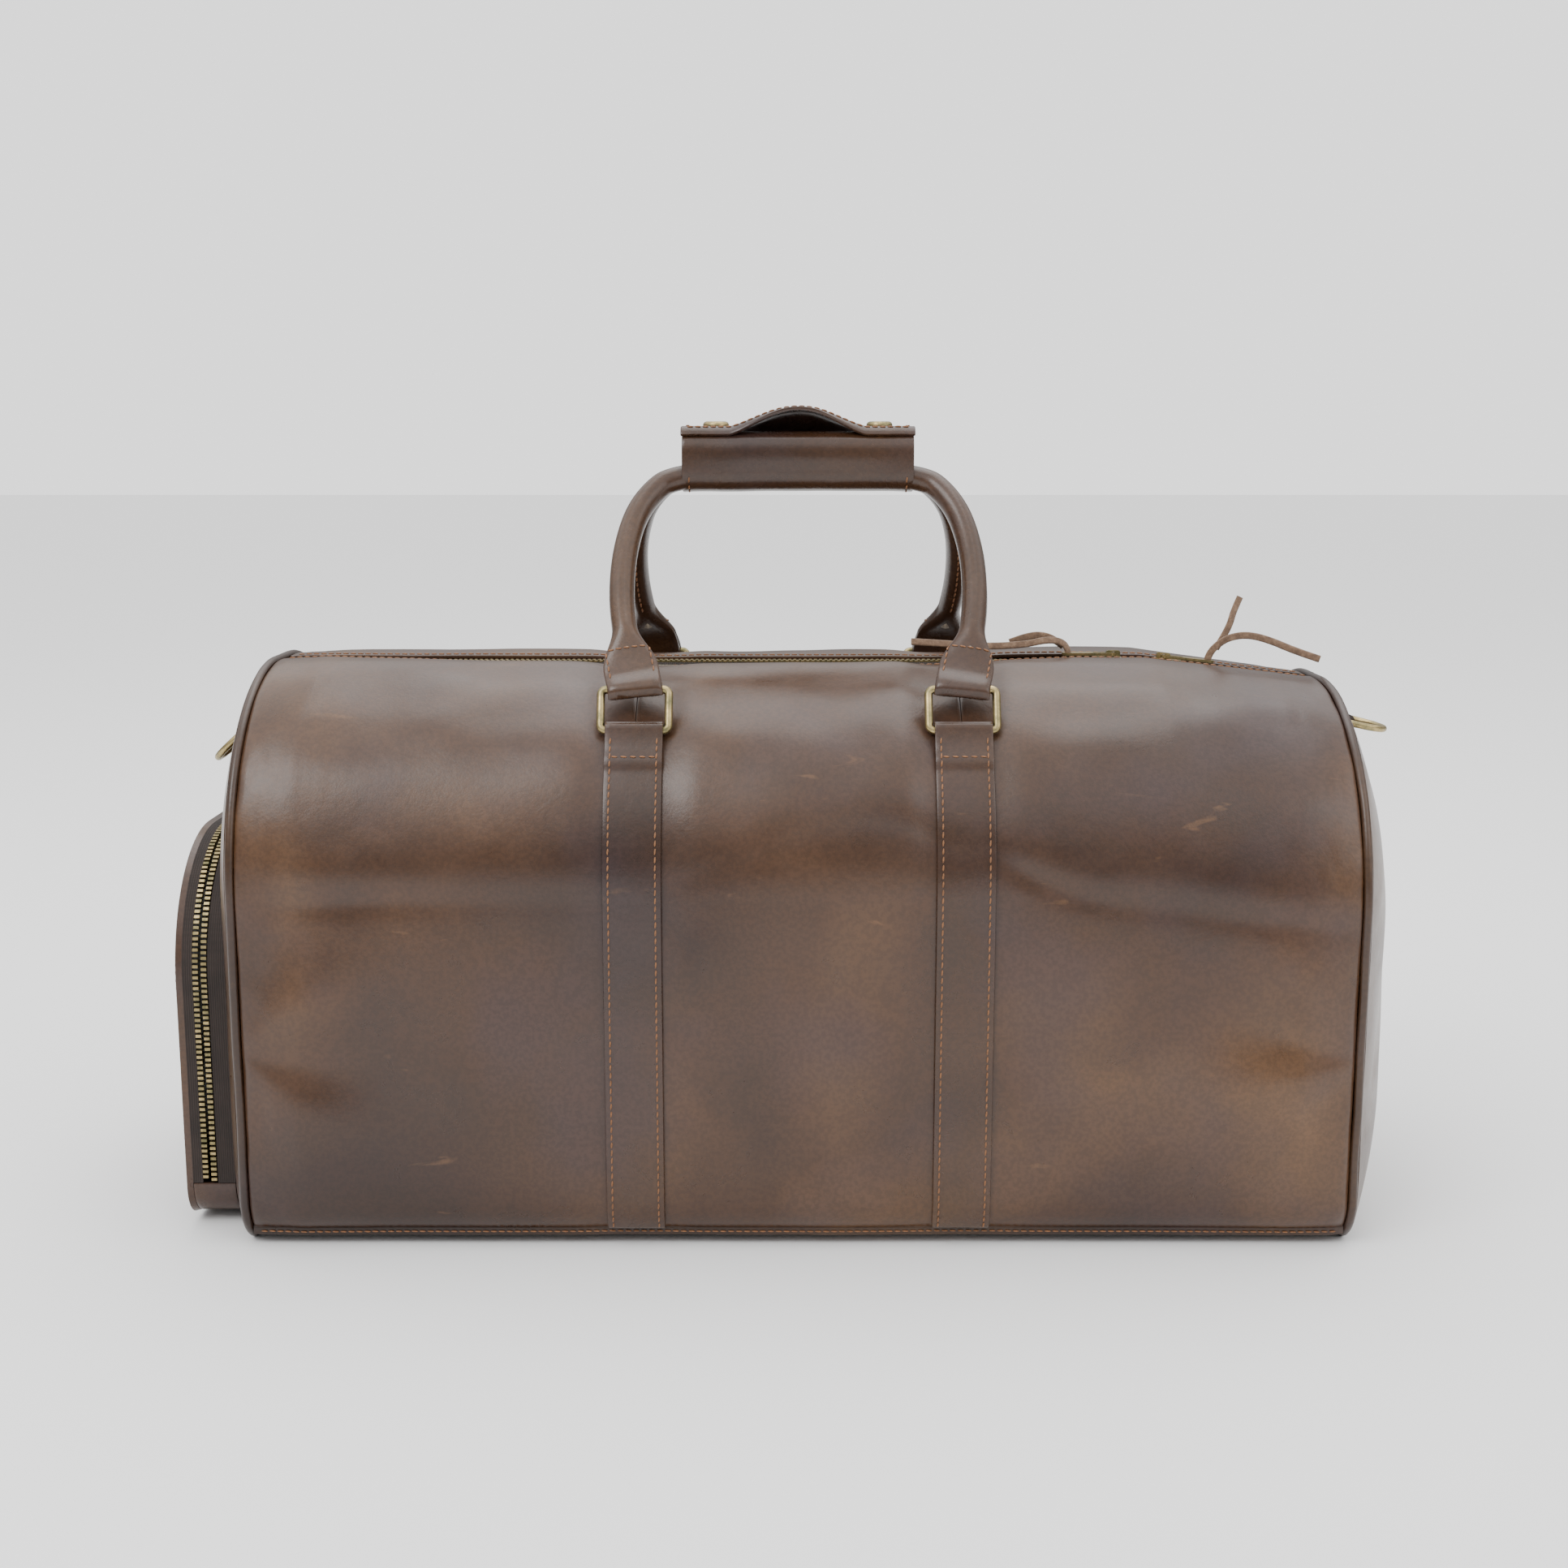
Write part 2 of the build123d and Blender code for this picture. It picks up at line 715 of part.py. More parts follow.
for end, word in ends.items():
    cap, socket, stud = snap_pieces(end)
    keep(f"snap_cap_{word}", cap)
    keep(f"snap_socket_{word}", socket)
    keep(f"snap_stud_{word}", stud)

# ---- pocket on the left end ---------------------------------------------------------------------
wall_x = -(seam_x + cap_steps[-1][-1][0])  # the left end panel's flat face
pocket_zip_x = wall_x - gap - pocket_tape - tooth_outer - gap
pocket_rim_x = pocket_zip_x - tooth_outer - gap - pocket_tape


def pocket_outline(inset):
    """The pocket's arched outline at an inset."""
    low_radius = max(pocket_bottom_radius - inset, 5.0)
    top = pocket_floor + pocket_height - inset
    return arch_face(pocket_half_y - inset, pocket_floor + inset, top, low_radius, pocket_top_radius - inset)


def pocket_band(x0, x1, thickness, low, high):
    """A band standing off the end panel along the outline, between two heights."""
    outer = pocket_outline(0.0)
    inner = pocket_outline(thickness)
    with BuildPart() as band:
        with BuildSketch(Plane.YZ.offset(x1)):
            add(outer)
            add(inner, mode=Mode.SUBTRACT)
        extrude(amount=x0 - x1)
        region(x1, x0, -far, far, low, high)
    return band.part


inner_x = wall_x - gap
outer_x = pocket_rim_x + pocket_tape
keep("pocket_tape_inner", pocket_band(inner_x, inner_x - pocket_tape, tape_thickness, pocket_seam_z, far))
keep("pocket_tape_outer", pocket_band(outer_x, pocket_rim_x, tape_thickness, pocket_seam_z, far))
keep("pocket_bottom", pocket_band(inner_x, pocket_rim_x, leather, -far, pocket_seam_z - gap))
face_x = pocket_rim_x - gap
pocket_stations = [(face_x, 0.0)] + [(face_x - out, inset) for out, inset in pocket_dome]
keep("pocket_face", shell(pocket_outline, pocket_stations))

arch_inset = tape_thickness / 2
arch_half = pocket_half_y - arch_inset
arch_top = pocket_floor + pocket_height - arch_inset
arch_radius = pocket_top_radius - arch_inset
arch_foot = pocket_seam_z + tooth_length
arch_corners = [
    (-arch_half, arch_foot),
    (-arch_half, arch_top),
    (arch_half, arch_top),
    (arch_half, arch_foot),
]
with BuildLine(Plane.YZ.offset(pocket_zip_x)) as arch_line:
    FilletPolyline(*arch_corners, radius=arch_radius)
arch = arch_line.wire()


def arch_teeth(side):
    """One row of teeth round the pocket's arch; side is -1 away from the bag."""
    count = int(arch.length / tooth_pitch)
    shift = 0.25 if side < 0 else 0.75
    tooth = Box(tooth_length, tooth_outer - tooth_inner, tooth_height)
    places = []
    for index in range(count - 1):
        share = (index + shift) / count
        along = arch % share
        place = Plane(origin=arch @ share, x_dir=along, z_dir=Vector(1, 0, 0).cross(along))
        places.append(place.location * Pos(0, side * (tooth_inner + tooth_outer) / 2, 0))
    return Compound([tooth.moved(place) for place in places])


for side, word in ((1, "inner"), (-1, "outer")):
    keep(f"pocket_teeth_{word}", arch_teeth(side))

pocket_slider_z = pocket_seam_z + 12.0
slider_plane = Plane(
    origin=(pocket_zip_x, arch_half - tooth_mid, pocket_slider_z), x_dir=(0, 0, 1), z_dir=(0, 1, 0)
)
keep("pocket_slider", zip_slider(slider_plane, 1))
keep("pocket_pull", zip_pull(slider_plane, 1))

# ---- D-rings at the two ends --------------------------------------------------------------------
# the facet of each dome that the tab lies on, from its upper edge down
dring_edge = {-1: cap_steps[-1][-1], 1: cap_steps[1][0]}
dring_next = {-1: (cap_steps[-1][-1][0], half_depth), 1: cap_steps[1][1]}


def dring_pieces(side):
    """The folded leather tab on the end dome, and the D-ring hanging in its eye."""
    edge_out, edge_inset = dring_edge[side]
    next_out, next_inset = dring_next[side]
    end_top = top_at(side * half_length)
    down = Vector(side * (next_out - edge_out), 0, edge_inset - next_inset).normalized()
    across = Vector(0, 1, 0)
    normal = Vector(-down.Z * side, 0, down.X * side)
    start = Vector(side * (seam_x + edge_out), 0, end_top - edge_inset) + down * dring_tab_drop
    wire = dring_wire / 2
    inner = wire + eye_clearance
    outer = inner + fold_leather
    base = Plane(origin=start, x_dir=down, z_dir=down.cross(normal))
    eye = (dring_tab_length, gap + outer)
    shoulder = eye[0] - 8
    with BuildPart() as tab:
        with BuildSketch(base):
            with Locations((dring_tab_length / 2, gap + fold_leather)):
                Rectangle(dring_tab_length, 2 * fold_leather)
            with BuildLine():
                Polyline(
                    (shoulder, gap),
                    (shoulder, gap + 2 * fold_leather),
                    (eye[0], gap + 2 * outer),
                    (eye[0], gap),
                    close=True,
                )
            make_face()
            with Locations(eye):
                Circle(outer)
                Circle(inner, mode=Mode.SUBTRACT)
        extrude(amount=dring_tab_width / 2, both=True)
    pin = start + down * eye[0] + normal * eye[1]
    hang = radians(dring_hang[side])
    out = Vector(side * cos(hang), 0, -sin(hang))
    with BuildSketch(Plane(origin=pin, x_dir=across, z_dir=across.cross(out))) as outline:
        with Locations((0, dring_straight / 2)):
            Rectangle(2 * dring_radius, dring_straight)
        fillet(outline.vertices().group_by(Axis.Y)[0], dring_corner)
        with BuildLine():
            ThreePointArc(
                (-dring_radius, dring_straight),
                (0, dring_straight + dring_radius),
                (dring_radius, dring_straight),
            )
            Line((dring_radius, dring_straight), (-dring_radius, dring_straight))
        make_face()
    ring = wire_ring(outline.sketch, wire)
    print(f"d-ring pin on side {side}: {pin.X:.2f}, {pin.Z:.2f}")
    return tab.part, ring


for end, word in ends.items():
    tab, ring = dring_pieces(end)
    keep(f"d_ring_tab_{word}", tab)
    keep(f"d_ring_{word}", ring)

# ---- stitched welt along the bottom seams -------------------------------------------------------
welt_thickness = 1.8
welt_height = 4.6
for side, word in sides.items():
    turn = atan2(bottom_radius - seam_z, (bottom_radius**2 - (bottom_radius - seam_z) ** 2) ** 0.5)
    reach = bottom_radius + gap + welt_thickness / 2
    with BuildPart() as welt:
        with BuildSketch(Plane.YZ.offset(-panel_end)):
            out = half_depth - bottom_radius + reach * cos(turn)
            middle = (side * out, bottom_radius - reach * sin(turn))
            with Locations(Location(middle, -side * degrees(turn))):
                Rectangle(welt_thickness, welt_height)
        extrude(amount=2 * panel_end)
    keep(f"{word}_welt", welt.part)

for side in sides:
    print(f"ring bars on side {side}: {bars[side]}")
print("nodes:", len(nodes))

for name, part in nodes.items():
    part.label = name
    export_step(part, f"parts/{name}.step")
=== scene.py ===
"""Looks of a leather duffel bag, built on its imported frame: sewn leather, thread, brass and zips."""

import json
from math import atan2, cos, pi, radians, sin

import bpy
import numpy as np
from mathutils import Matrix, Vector, noise


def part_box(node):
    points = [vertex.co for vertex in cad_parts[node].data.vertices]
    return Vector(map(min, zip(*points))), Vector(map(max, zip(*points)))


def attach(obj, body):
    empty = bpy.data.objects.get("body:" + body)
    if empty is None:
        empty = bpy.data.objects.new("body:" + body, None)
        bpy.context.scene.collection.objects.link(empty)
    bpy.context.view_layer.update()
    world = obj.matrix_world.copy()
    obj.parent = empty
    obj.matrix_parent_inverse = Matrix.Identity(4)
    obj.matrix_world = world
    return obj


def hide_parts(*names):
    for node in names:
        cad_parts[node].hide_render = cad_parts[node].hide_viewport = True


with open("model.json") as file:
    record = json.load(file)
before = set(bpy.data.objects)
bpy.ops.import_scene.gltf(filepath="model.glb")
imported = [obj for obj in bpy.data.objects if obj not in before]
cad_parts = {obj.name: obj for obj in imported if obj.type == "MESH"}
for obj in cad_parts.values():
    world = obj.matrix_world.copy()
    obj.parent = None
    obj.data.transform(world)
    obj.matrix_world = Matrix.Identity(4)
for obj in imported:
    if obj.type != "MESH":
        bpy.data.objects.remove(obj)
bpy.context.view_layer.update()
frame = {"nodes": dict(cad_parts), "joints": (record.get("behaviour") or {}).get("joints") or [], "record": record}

bl_info = {
    "name": "Leather Duffel Bag",
    "version": (1, 0, 0),
    "blender": (4, 5, 0),
    "location": "View3D > Sidebar > Duffel",
    "description": "Builds the looks of a leather duffel bag on its packed frame",
    "category": "Object",
}

# ---- places read from the frame -----------------------------------------------------------------
panel_low, panel_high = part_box("front_panel_left")
half_depth = -panel_low[1]
top_z = panel_high[2]
panel_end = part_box("front_panel_right")[1][0]
strap_low, strap_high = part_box("front_strap_right")
strap_x = (strap_low[0] + strap_high[0]) / 2
piping_low, piping_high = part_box("piping_right")
piping_proud = 0.002
right_top = piping_high[2] - piping_proud
seam_x = (piping_low[0] + piping_high[0]) / 2
seam_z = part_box("bottom_panel")[1][2]
zip_drop = top_z - right_top
drop_start = 0.2
shoulder = 0.115
foot = 0.028
crown = half_depth - shoulder
eye_outer = 0.0048
stitch_lift = 0.0001
joint_at = {joint["name"]: joint.get("pos_m") for joint in frame["joints"]}


class DuffelSizes(bpy.types.PropertyGroup):
    """Sizes that a user would change."""

    leather: bpy.props.FloatProperty(
        name="Leather", description="Thickness of the body leather", default=0.0024, unit="LENGTH"
    )
    strap_leather: bpy.props.FloatProperty(
        name="Strap leather", description="Thickness of the strap leather", default=0.0022, unit="LENGTH"
    )
    stitch_pitch: bpy.props.FloatProperty(
        name="Stitch pitch",
        description="Distance from one stitch to the next",
        default=0.0043,
        unit="LENGTH",
    )
    drape: bpy.props.FloatProperty(
        name="Drape", description="Depth of the leather's soft folds", default=0.0030, unit="LENGTH"
    )
    grain: bpy.props.FloatProperty(
        name="Grain", description="Strength of the leather's grain", default=0.35, min=0.0, max=1.0
    )


class DuffelColours(bpy.types.PropertyGroup):
    """Colours that a user would change."""

    leather_dark: bpy.props.FloatVectorProperty(
        name="Dark leather", description="Deepest tone", default=(0.022, 0.0090, 0.0058), subtype="COLOR"
    )
    leather_mid: bpy.props.FloatVectorProperty(
        name="Leather", description="Main tone", default=(0.056, 0.0250, 0.0112), subtype="COLOR"
    )
    leather_light: bpy.props.FloatVectorProperty(
        name="Light leather", description="Pulled-up tone", default=(0.105, 0.0520, 0.0225), subtype="COLOR"
    )
    thread: bpy.props.FloatVectorProperty(
        name="Thread", description="Stitching", default=(0.25, 0.105, 0.038), subtype="COLOR"
    )
    brass: bpy.props.FloatVectorProperty(
        name="Brass", description="Bare brass", default=(0.52, 0.40, 0.19), subtype="COLOR"
    )


def sizes():
    return bpy.context.scene.duffel_sizes


def colours():
    return bpy.context.scene.duffel_colours


# ---- the bag's outline --------------------------------------------------------------------------
def crown_height(x):
    return top_z - zip_drop * np.clip((x - drop_start) / (seam_x - drop_start), 0.0, 1.0)


def outline(x, d):
    """The point (y, z) and normal of the front half's outline, d along it from the zip's middle."""
    top = crown_height(x)
    ends = [crown]
    ends.append(ends[0] + shoulder * pi / 2)
    wall = top - shoulder - foot
    full_wall = top_z - shoulder - foot
    ends.append(ends[1] + full_wall)
    ends.append(ends[2] + foot * pi / 2)
    over = np.clip((d - ends[0]) / shoulder, 0.0, pi / 2)
    under = np.clip((d - ends[2]) / foot, 0.0, pi / 2)
    flat_top = np.minimum(d, ends[0])
    down = np.clip(d - ends[1], 0.0, full_wall) * wall / full_wall
    flat_low = np.maximum(d - ends[3], 0.0)
    y = -(flat_top + shoulder * np.sin(over) - foot * (1 - np.cos(under)) - flat_low)
    z = top - shoulder * (1 - np.cos(over)) - down - foot * np.sin(under)
    turn = over + under
    return y, z, -np.sin(turn), np.cos(turn)


wall_start = crown + shoulder * pi / 2
wall_end = wall_start + top_z - shoulder - foot
seam_d = wall_end + foot * np.arcsin((foot - seam_z) / foot)


def ripple(x, d, side, scale, seed):
    """Smooth noise over the leather, from -1 to 1."""
    flat_x, flat_d = np.ravel(x), np.ravel(d)
    values = [
        noise.noise(Vector((a * scale, b * scale + side * 7.3, seed))) for a, b in zip(flat_x, flat_d)
    ]
    return np.reshape(values, np.shape(x))


def folds(x, d, side):
    """How far the leather stands off its outline: soft swells, fold lines and pinched seams."""
    deep = sizes().drape
    swell = (1.0 + ripple(x, d * 0.8, side, 6.0, 1.7) * 1.3 + ripple(x, d, side, 16.0, 5.1) * 0.40) * deep
    middle = (wall_start + wall_end) / 2
    from_end = panel_end - np.abs(x)
    apart = np.hypot(from_end, d - middle)
    fan = np.sin(np.arctan2(d - middle, from_end + 0.004) * 4.5 + np.sign(x) + side)
    crumple = ripple(x, d * 1.5, side, 24.0, 8.8) * np.exp(-(((d - 0.075) / 0.050) ** 2))
    swell = swell + deep * 0.55 * crumple
    swell = swell + deep * 0.9 * fan * np.exp(-(((apart - 0.055) / 0.045) ** 2))
    wander = 0.20 + 0.012 * ripple(x, x * 0, side, 6.0, 9.0) - 0.045 * np.exp(-(((x - 0.03) / 0.09) ** 2))
    broken = np.clip(0.5 + 1.2 * ripple(x, x * 0 + 0.4, side, 9.0, 4.4), 0, 1)
    crease = -deep * 0.40 * broken * np.exp(-(((d - wander) / 0.007) ** 2))
    ridge = deep * 0.40 * broken * np.exp(-(((d - wander + 0.018) / 0.016) ** 2))
    slack = deep * 0.8 * np.sin(np.clip((d - wall_start) / (wall_end - wall_start), 0, 1) * pi)
    to_end = np.clip((panel_end - np.abs(x)) / 0.03, 0, 1)
    to_lip = np.clip((d - 0.008) / 0.03, 0, 1)
    to_seam = np.clip((seam_d - d) / 0.03, 0, 1)
    hold = np.sqrt(to_end * to_seam) * (0.25 + 0.75 * to_lip)
    under_strap = 1 - 0.75 * np.exp(-(((np.abs(x) - strap_x) / 0.026) ** 4))
    pucker = 0.0006 * ripple(x * 3.0, d, side, 60.0, 3.3) * np.exp(-(panel_end - np.abs(x)) / 0.02)
    return (swell + crease + ridge + slack) * hold * under_strap + pucker


def lip_sag(x, d, side):
    """The front lip hangs a little between the zip's ends."""
    reach = np.clip((x + 0.27) / 0.12, 0, 1) * np.clip((0.16 - x) / 0.10, 0, 1)
    depth = 0.0045 if side < 0 else 0.0008
    return depth * reach * np.exp(-((np.maximum(d - 0.008, 0) / 0.022) ** 2))


def on_bag(x, d, side, lift=0.0):
    """Points (n, 3) and normals (n, 3) on the leather; side is -1 at the front and 1 at the back."""
    x, d = np.broadcast_arrays(np.asarray(x, float), np.asarray(d, float))
    y, z, ny, nz = outline(x, d)
    out = folds(x, d, side) + lift
    z = z - lip_sag(x, d, side)
    points = np.stack([x, -side * (y + ny * out), z + nz * out], axis=-1)
    normals = np.stack([np.zeros_like(x), -side * ny, nz], axis=-1)
    return points, normals


# ---- mesh helpers -------------------------------------------------------------------------------
def clear_selection():
    if bpy.context.object and bpy.context.object.mode != "OBJECT":
        bpy.ops.object.mode_set(mode="OBJECT")
    bpy.ops.object.select_all(action="DESELECT")


def make_active(piece):
    clear_selection()
    piece.select_set(True)
    bpy.context.view_layer.objects.active = piece


def apply_modifiers(piece):
    make_active(piece)
    for modifier in list(piece.modifiers):
        bpy.ops.object.modifier_apply(modifier=modifier.name)


def surface(name, place, across, along, weld=False):
    """A grid laid on place(u, v), which gives points and outward normals for u and v from 0 to 1."""
    clear_selection()
    bpy.ops.mesh.primitive_grid_add(x_subdivisions=across, y_subdivisions=along, size=1.0)
    piece = bpy.context.object
    piece.name = name
    piece.data.name = name
    count = len(piece.data.vertices)
    flat = np.empty(count * 3)
    piece.data.vertices.foreach_get("co", flat)
    flat = flat.reshape(count, 3)
    points, normals = place(flat[:, 0] + 0.5, flat[:, 1] + 0.5)
    piece.data.vertices.foreach_set("co", points.ravel())
    piece.data.update()
    facing = sum(
        polygon.area * polygon.normal.dot(Vector(normals[polygon.vertices[0]]))
        for polygon in piece.data.polygons
    )
    bpy.ops.object.mode_set(mode="EDIT")
    bpy.ops.mesh.select_all(action="SELECT")
    if facing < 0:
        bpy.ops.mesh.flip_normals()
    if weld:
        bpy.ops.mesh.remove_doubles(threshold=0.00002)
    bpy.ops.object.mode_set(mode="OBJECT")
    bpy.ops.object.shade_smooth()
    return piece


def thicken(piece, thickness, round_edge=True):
    """Gives a sheet its thickness inwards, with a softened edge."""
    solid = piece.modifiers.new("Thickness", "SOLIDIFY")
    solid.thickness = thickness
    solid.offset = -1.0
    if round_edge:
        bevel = piece.modifiers.new("Edge", "BEVEL")
        bevel.width = thickness * 0.28
        bevel.segments = 2
        bevel.limit_method = "ANGLE"
        bevel.angle_limit = radians(50)
    apply_modifiers(piece)
    bpy.ops.object.shade_smooth_by_angle(angle=radians(40))


def tube(name, points, radius, closed=False, sides=3):
    """A round tube through points."""
    curve = bpy.data.curves.new(name, "CURVE")
    curve.dimensions = "3D"
    curve.bevel_depth = radius
    curve.bevel_resolution = sides
    curve.use_fill_caps = not closed
    spline = curve.splines.new("POLY")
    spline.points.add(len(points) - 1)
    for spot, point in zip(spline.points, points):
        spot.co = (*point, 1.0)
    spline.use_cyclic_u = closed
    piece = bpy.data.objects.new(name, curve)
    bpy.context.collection.objects.link(piece)
    make_active(piece)
    bpy.ops.object.convert(target="MESH")
    piece = bpy.context.object
    bpy.ops.object.shade_smooth()
    return piece


def finish_piece(piece, material, body, slot, *nodes):
    piece.data.materials.clear()
    piece.data.materials.append(bpy.data.materials[material])
    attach(piece, body)
    if nodes:
        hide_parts(*nodes)


def spread(points, normals, pitch):
    """Evenly spaced points, tangents and normals along a path."""
    points = np.asarray(points, float)
    steps = np.linalg.norm(np.diff(points, axis=0), axis=1)
    run = np.concatenate([[0.0], np.cumsum(steps)])
    count = max(2, int(run[-1] / pitch))
    marks = (np.arange(count) + 0.5) * run[-1] / count
    spots = np.stack([np.interp(marks, run, points[:, k]) for k in range(3)], axis=1)
    ups = np.stack([np.interp(marks, run, np.asarray(normals)[:, k]) for k in range(3)], axis=1)
    ahead = np.stack([np.interp(marks + pitch * 0.2, run, points[:, k]) for k in range(3)], axis=1)
    behind = np.stack([np.interp(marks - pitch * 0.2, run, points[:, k]) for k in range(3)], axis=1)
    return spots, ahead - behind, ups


def stitch_shape():
    """One stitch, as a unit sphere that stitches() stretches into a short thread."""
    clear_selection()
    bpy.ops.mesh.primitive_uv_sphere_add(segments=8, ring_count=6, radius=1.0)
    shape = bpy.context.object
    verts = np.array([v.co[:] for v in shape.data.vertices])
    faces = [tuple(p.vertices) for p in shape.data.polygons]
    bpy.data.objects.remove(shape)
    return verts, faces


def stitches(name, runs, body, size=1.0):
    """Thread along several runs, each (points, normals), as one piece."""
    verts, faces = stitch_shape()
    pitch = sizes().stitch_pitch * size
    all_verts, all_faces = [], []
    for points, normals in runs:
        for spot, along, up in zip(*spread(points, normals, pitch)):
            along = along / (np.linalg.norm(along) + 1e-12)
            up = up - along * np.dot(up, along)
            up = up / (np.linalg.norm(up) + 1e-12)
            side = np.cross(along, up)
            slant = along * cos(0.10) + side * sin(0.10)
            cross = np.cross(slant, up)
            shape = (
                np.outer(verts[:, 2], slant) * pitch * 0.40
                + np.outer(verts[:, 0], cross) * 0.00052 * size
                + np.outer(verts[:, 1], up) * 0.00050 * size
            )
            base = len(all_verts) * len(verts)
            all_verts.append(shape + spot + up * 0.00010)
            all_faces.extend(tuple(base + i for i in face) for face in faces)
    mesh = bpy.data.meshes.new(name)
    mesh.from_pydata(np.concatenate(all_verts).tolist(), [], all_faces)
    piece = bpy.data.objects.new(name, mesh)
    bpy.context.collection.objects.link(piece)
    make_active(piece)
    bpy.ops.object.shade_smooth()
    finish_piece(piece, "Thread", body, "suede")
    return piece


# ---- materials ----------------------------------------------------------------------------------
def start_material(name):
    """A new material: its node tree, its shader and its object coordinates."""
    material = bpy.data.materials.new(name)
    material.use_nodes = True
    tree = material.node_tree
    shader = tree.nodes["Principled BSDF"]
    place = tree.nodes.new("ShaderNodeTexCoord").outputs["Object"]
    return tree, shader, place


def noise_map(tree, place, scale, detail=4.0, rough=0.55, stretch=None, distortion=0.0):
    """A noise's factor, with the pattern stretched along the axes if asked."""
    if stretch:
        mapping = tree.nodes.new("ShaderNodeMapping")
        mapping.inputs["Scale"].default_value = stretch
        tree.links.new(place, mapping.inputs["Vector"])
        place = mapping.outputs["Vector"]
    texture = tree.nodes.new("ShaderNodeTexNoise")
    texture.inputs["Scale"].default_value = scale
    texture.inputs["Detail"].default_value = detail
    texture.inputs["Roughness"].default_value = rough
    texture.inputs["Distortion"].default_value = distortion
    tree.links.new(place, texture.inputs["Vector"])
    return texture.outputs["Fac"]


def ramp(tree, factor, *stops):
    """Colours or greys at places along a factor: each stop is (place, (r, g, b))."""
    node = tree.nodes.new("ShaderNodeValToRGB")
    elements = node.color_ramp.elements
    while len(elements) < len(stops):
        elements.new(0.5)
    for element, (where, colour) in zip(elements, stops):
        element.position = where
        element.color = (*colour, 1.0)
    tree.links.new(factor, node.inputs["Fac"])
    return node.outputs["Color"]


def blend_colour(tree, factor, first, second, kind="MIX"):
    node = tree.nodes.new("ShaderNodeMix")
    node.data_type = "RGBA"
    node.blend_type = kind
    for value, socket in ((factor, node.inputs[0]), (first, node.inputs[6]), (second, node.inputs[7])):
        if isinstance(value, (int, float)):
            socket.default_value = value
        elif isinstance(value, tuple):
            socket.default_value = (*value, 1.0)
        else:
            tree.links.new(value, socket)
    return node.outputs[2]


def bump(tree, height, strength, distance, normal=None):
    node = tree.nodes.new("ShaderNodeBump")
    node.inputs["Strength"].default_value = strength
    node.inputs["Distance"].default_value = distance
    tree.links.new(height, node.inputs["Height"])
    if normal:
        tree.links.new(normal, node.inputs["Normal"])
    return node.outputs["Normal"]


def cells(tree, place, scale):
    texture = tree.nodes.new("ShaderNodeTexVoronoi")
    texture.feature = "F1"
    texture.inputs["Scale"].default_value = scale
    tree.links.new(place, texture.inputs["Vector"])
    return texture.outputs["Distance"]


def grey(value):
    return (value, value, value)


def leather_material(name, dark, mid, light, gloss=0.0):
    """Waxed pull-up leather: mottled tones, purple-grey patches of painted sky reflection, faint scratches, fine
    pores and soft wrinkles.
    """
    tree, shader, place = start_material(name)
    cloudy = noise_map(tree, place, 6.0, 3.0, 0.50, distortion=0.5)
    base = ramp(tree, cloudy, (0.26, dark), (0.50, mid), (0.74, light))
    patches = noise_map(tree, place, 26.0, 6.0, 0.65, distortion=0.4)
    patchy = ramp(tree, patches, (0.30, grey(0.80)), (0.52, grey(0.98)), (0.74, grey(1.20)))
    base = blend_colour(tree, 0.75, base, patchy, "MULTIPLY")
    # painted reflection: purple-grey patches mixed into the colour stand in for the sky's sheen on the waxed
    # leather
    painted_sky_sheen = ramp(tree, noise_map(tree, place, 13.0, 3.0, 0.5), (0.48, grey(0.0)), (0.68, grey(0.45)))
    base = blend_colour(tree, painted_sky_sheen, base, (0.038, 0.023, 0.025))
    streaks = noise_map(tree, place, 60.0, 3.0, 0.5, stretch=(0.28, 2.0, 1.0), distortion=1.2)
    scratch = ramp(tree, streaks, (0.70, grey(0.0)), (0.76, grey(0.35)))
    base = blend_colour(tree, scratch, base, tuple(min(1.0, c * 1.5) for c in light))
    speckle = ramp(tree, noise_map(tree, place, 420.0, 2.0), (0.40, grey(0.88)), (0.60, grey(1.10)))
    base = blend_colour(tree, 1.0, base, speckle, "MULTIPLY")
    tree.links.new(base, shader.inputs["Base Color"])
    polish = ramp(
        tree, patches, (0.35, grey(0.27 - gloss)), (0.55, grey(0.34 - gloss)), (0.75, grey(0.43 - gloss))
    )
    tree.links.new(polish, shader.inputs["Roughness"])
    shader.inputs["Specular IOR Level"].default_value = 0.40
    shader.inputs["Coat Weight"].default_value = 0.15
    shader.inputs["Coat Roughness"].default_value = 0.28
    pores = cells(tree, place, 720.0)
    wrinkle = noise_map(tree, place, 95.0, 8.0, 0.62, distortion=0.8)
    strength = sizes().grain
    normal = bump(tree, wrinkle, strength * 0.32, 0.0014)
    normal = bump(tree, pores, strength * 0.35, 0.00025, normal)
    tree.links.new(normal, shader.inputs["Normal"])


def brass_material(name, bright, roughness):
    """Antique brass: darker, greener patina in patches, and fine scratches."""
    tree, shader, place = start_material(name)
    patina = noise_map(tree, place, 130.0, 6.0, 0.7)
    tarnish = tuple(c * f for c, f in zip(bright, (0.34, 0.40, 0.42)))
    base = ramp(tree, patina, (0.36, tarnish), (0.56, tuple(c * 0.75 for c in bright)), (0.72, bright))
    tree.links.new(base, shader.inputs["Base Color"])
    shader.inputs["Metallic"].default_value = 1.0
    worn = ramp(tree, patina, (0.35, grey(roughness + 0.20)), (0.70, grey(roughness)))
    tree.links.new(worn, shader.inputs["Roughness"])
    scratches = noise_map(tree, place, 900.0, 3.0, 0.6, stretch=(0.2, 1.0, 1.0))
    tree.links.new(bump(tree, scratches, 0.12, 0.0001), shader.inputs["Normal"])


